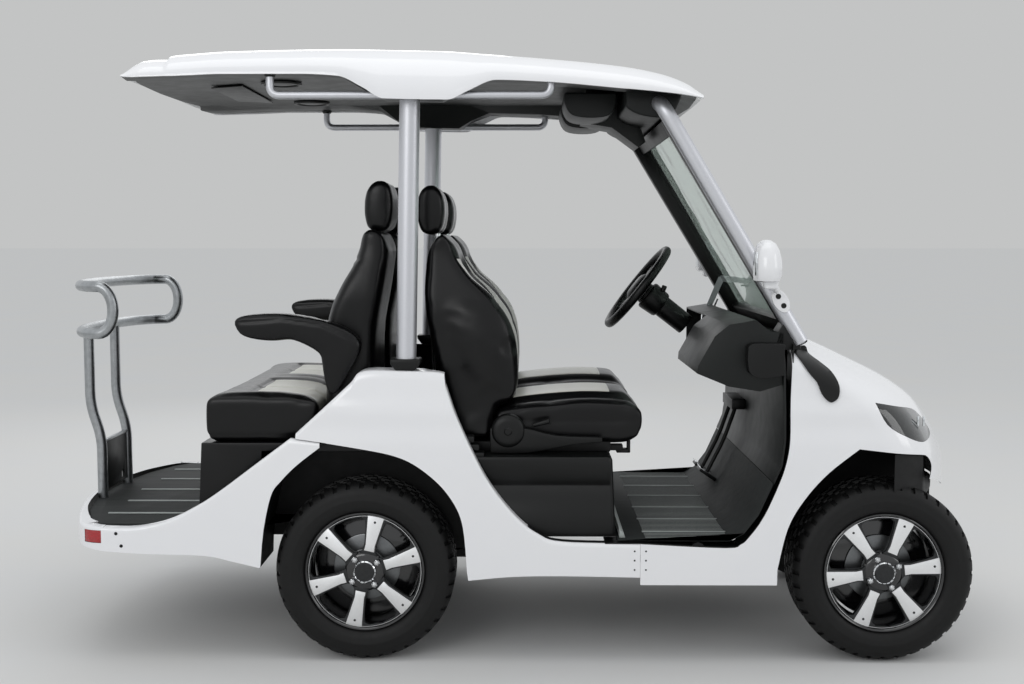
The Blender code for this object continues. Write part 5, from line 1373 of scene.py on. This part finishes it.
def makeDash():
    dash = nodeCopy("dash")
    cutAway(dash, boxBetween((0.4, -0.02, 0.78), (0.7, 0.56, 1.4)))
    bevelEdges(dash, 0.004, 2, 40)
    finishPiece(dash, "dashSkin", charcoalLiner, "dark_liner", "chassis", ("dash",), 35)
    down = Vector((math.cos(steer["tilt"]), 0, -math.sin(steer["tilt"])))
    start, end = steer["centre"] + down * 0.034, steer["centre"] + down * 0.235
    column = rodBetween(start, end, 0.042, 32, 0.04, 0.003)
    collar = rodBetween(start + down * 0.01, start + down * 0.085, 0.056, 32, 0.05, 0.01)
    knob = rodBetween(start + down * 0.075 + Vector((0, -0.02, 0.03)),
        start + down * 0.095 + Vector((0, -0.02, 0.085)), 0.008, 20, 0.01, 0.003)
    stalk = rodBetween(start + down * 0.05, start + down * 0.06 + Vector((0, 0.145, 0.02)), 0.006, 16,
        0.008, 0.002)
    finishPiece(joined([column, collar, knob, stalk]), "steeringColumn", blackAbs, "black_plastic")
    trim = boxBetween((0.694, 0.06, 0.905), (0.699, 0.064, 1.08), 0.001, 2)
    stay = outlinePiece(mm((812, 1207), (836, 1200), (763, 1034), (744, 1040)), 0.436, 0.44)
    trim = joined([trim, outlinePiece(mm((806, 1121), (812, 1118), (706, 869), (699, 872)), 0.43, 0.4345)])
    finishPiece(trim, "dashBrightLine", chromePlate, "satin_tube")
    finishPiece(bevelEdges(stay, 0.001, 1), "screenStay", brushedTube, "satin_tube")
    keys = [rodBetween((0.699, 0.1 + 0.045 * k, 0.965), (0.686, 0.1 + 0.045 * k, 0.968), 0.013, 24, 0.011,
        0.002) for k in range(2)]
    finishPiece(joined(keys), "dashSwitches", blackAbs, "black_plastic")
    pod = outlinePiece(smoothLine(mm((752, 1016), (775, 1026), (860, 1024), (866, 1012), (866, 925),
        (800, 915), (760, 930), (750, 975)), 4, (3, 4)), -0.588, -0.5355)
    pairOf(bevelEdges(pod, 0.008, 3), "dashEndPod", "Right", blackAbs, "black_plastic")


def makePedals():
    pedals = bevelEdges(nodeCopy("pedals"), 0.0015, 2)
    finishPiece(pedals, "pedalSet", blackAbs, "black_plastic", "chassis", ("pedals",))
    rims = []
    for low, high in ((0.13, 0.215), (0.26, 0.325)):
        pad = boxBetween((0.7, low - 0.002, 0.4805), (0.77, high + 0.002, 0.4835), 0.001, 2, 0.6)
        rims.append(pad)
    finishPiece(joined(rims), "pedalEdges", chromePlate, "satin_tube")


def makeMirror():
    y = -tubes["pillarY"]
    housing = spunProfile(mm((0, 1228), (30, 1228), (46, 1232), (52, 1246), (52.5, 1270), (49, 1300),
        (42, 1325), (30, 1345), (14, 1355), (0, 1357)), 64, open_=True)
    housing.data.transform(turnBy(math.pi / 2, 4, "X"))
    for vertex in housing.data.vertices:
        vertex.co.z = abs(vertex.co.z)
        vertex.co.x = max(0.7575, 0.79 + vertex.co.x * 0.92)
        vertex.co.y = -0.657 + vertex.co.y * 1.2
        vertex.co.z -= 0.006
    recalculate(housing)
    glass = boxBetween((0.756, -0.692, 1.242), (0.758, -0.622, 1.312), 0.0008, 2)
    bar = tubeThrough(roundedRoute(((0.838, -0.545, 1.188), (0.828, -0.64, 1.196), (0.8, -0.655, 1.235)),
        0.02, 8), 0.01, rings=5)
    foot = boxBetween((0.782, -0.68, 1.2), (0.826, -0.626, 1.228), 0.008, 3)
    run = Vector((0.93 - 0.4745, 0, 1.024 - 1.785)).normalized()
    middle = Vector((0.857, 0, 1.158))
    plate = rodBetween((middle.x, y - 0.026, middle.z), (middle.x, y - 0.04, middle.z), 0.024, 36,
        bevel=0.003)
    plate.data.transform(Matrix.Translation(middle) @ Matrix.Scale(1.7, 4,
        run) @ Matrix.Translation(-middle))
    dress(glass, silveredGlass)
    dots = []
    for step in (-0.017, 0.017):
        spot = middle + run * step
        dots.append(dress(rodBetween((spot.x, y - 0.0385, spot.z), (spot.x, y - 0.0412, spot.z), 0.0085,
            24), blackAbs))
    shell = joined([dress(piece, glossWhiteGelcoat) for piece in (housing, bar, foot, plate)] + [glass] + dots)
    pairOf(shell, "doorMirror", "Right", None, "white_body", "mirror_")


def makeShoes():
    outline = smoothLine(mm((909, 996), (946, 933), (971, 902), (986, 866), (1004, 845), (1018, 841),
        (1037, 856), (1041, 892), (1025, 933), (996, 961), (968, 984), (955, 1010), (909, 996)), 5)[:-1]
    shoe = outlinePiece(outline, 0, 1)
    editAll(shoe)
    bpy.ops.mesh.quads_convert_to_tris()
    bpy.ops.mesh.subdivide(number_cuts=3)
    objectMode()
    for vertex in shoe.data.vertices:
        outer = skinY(vertex.co.x, min(vertex.co.z, 1.0)) + 0.0075
        vertex.co.y = -(outer * vertex.co.y + (outer - 0.01) * (1 - vertex.co.y))
    recalculate(shoe)
    bevelEdges(shoe, 0.0022, 2, 50)
    pairOf(shoe, "pillarShoe", "Right", blackAbs, "black_plastic", "pillar_shoe_")


def makeScreen():
    top, foot = Vector((0.4745, 0, 1.785)), Vector((0.93, 0, 1.024))
    run = (foot - top).normalized()
    across = Vector((-run.z, 0, run.x))
    back = across * (-0.01 if across.x > 0 else 0.01)
    still = Vector((0, 0, 0))

    def slab(start, end, halfStart, halfEnd, low, high, shift):
        a, b = top + run * start + shift, top + run * end + shift
        corners = [a - across * halfStart, b - across * halfEnd, b + across * halfEnd,
            a + across * halfStart]
        return outlinePiece([(c.x, c.z) for c in corners], low, high)
    glass = slab(0.105, 0.8, 0.0025, 0.0025, -0.4455, 0.4455, still)
    finishPiece(glass, "windscreenPane", greenGlass, "glass", "chassis", ("windscreen_glass",))
    rails = [slab(0.055, 0.86, 0.022, 0.02, -0.494, -0.444, still),
        slab(0.055, 0.86, 0.032, 0.026, 0.444, 0.494, back)]
    rails += [slab(0.055, 0.108, 0.02, 0.02, -0.46, 0.46, still),
        slab(0.795, 0.86, 0.018, 0.018, -0.46, 0.46, still)]
    frameBars = [bevelEdges(rail, 0.004, 2) for rail in rails]
    finishPiece(joined(frameBars), "windscreenSurround", blackAbs, "black_plastic", "chassis",
        ("windscreen_frame",))
    foot = outlinePiece(smoothLine(mm((842, 1000), (930, 1002), (912, 1060), (880, 1100), (856, 1060)), 3,
        (0, 1, 3)), -0.535, -0.447)
    pairOf(bevelEdges(foot, 0.004, 2), "screenFoot", "Right", blackAbs, "black_plastic")


makeSteeringWheel()
makeDash()
makePedals()
makeMirror()
makeShoes()
makeScreen()
print("dash, steering and mirrors ready")

# CAD nodes that stay, in their own finishes
finishes = {"chassis_frame": paintedSteel, "battery_pack": blackAbs, "front_axle": paintedSteel,
    "rear_axle": paintedSteel, "knuckle_left": paintedSteel, "knuckle_right": paintedSteel,
    "tie_rod": paintedSteel, "front_liner_left": charcoalLiner, "front_liner_right": charcoalLiner,
    "rear_liner_left": charcoalLiner, "rear_liner_right": charcoalLiner,}
for name, material in finishes.items():
    for slotSpace in frame["nodes"][name].material_slots:
        slotSpace.material = material
print("CAD nodes finished")
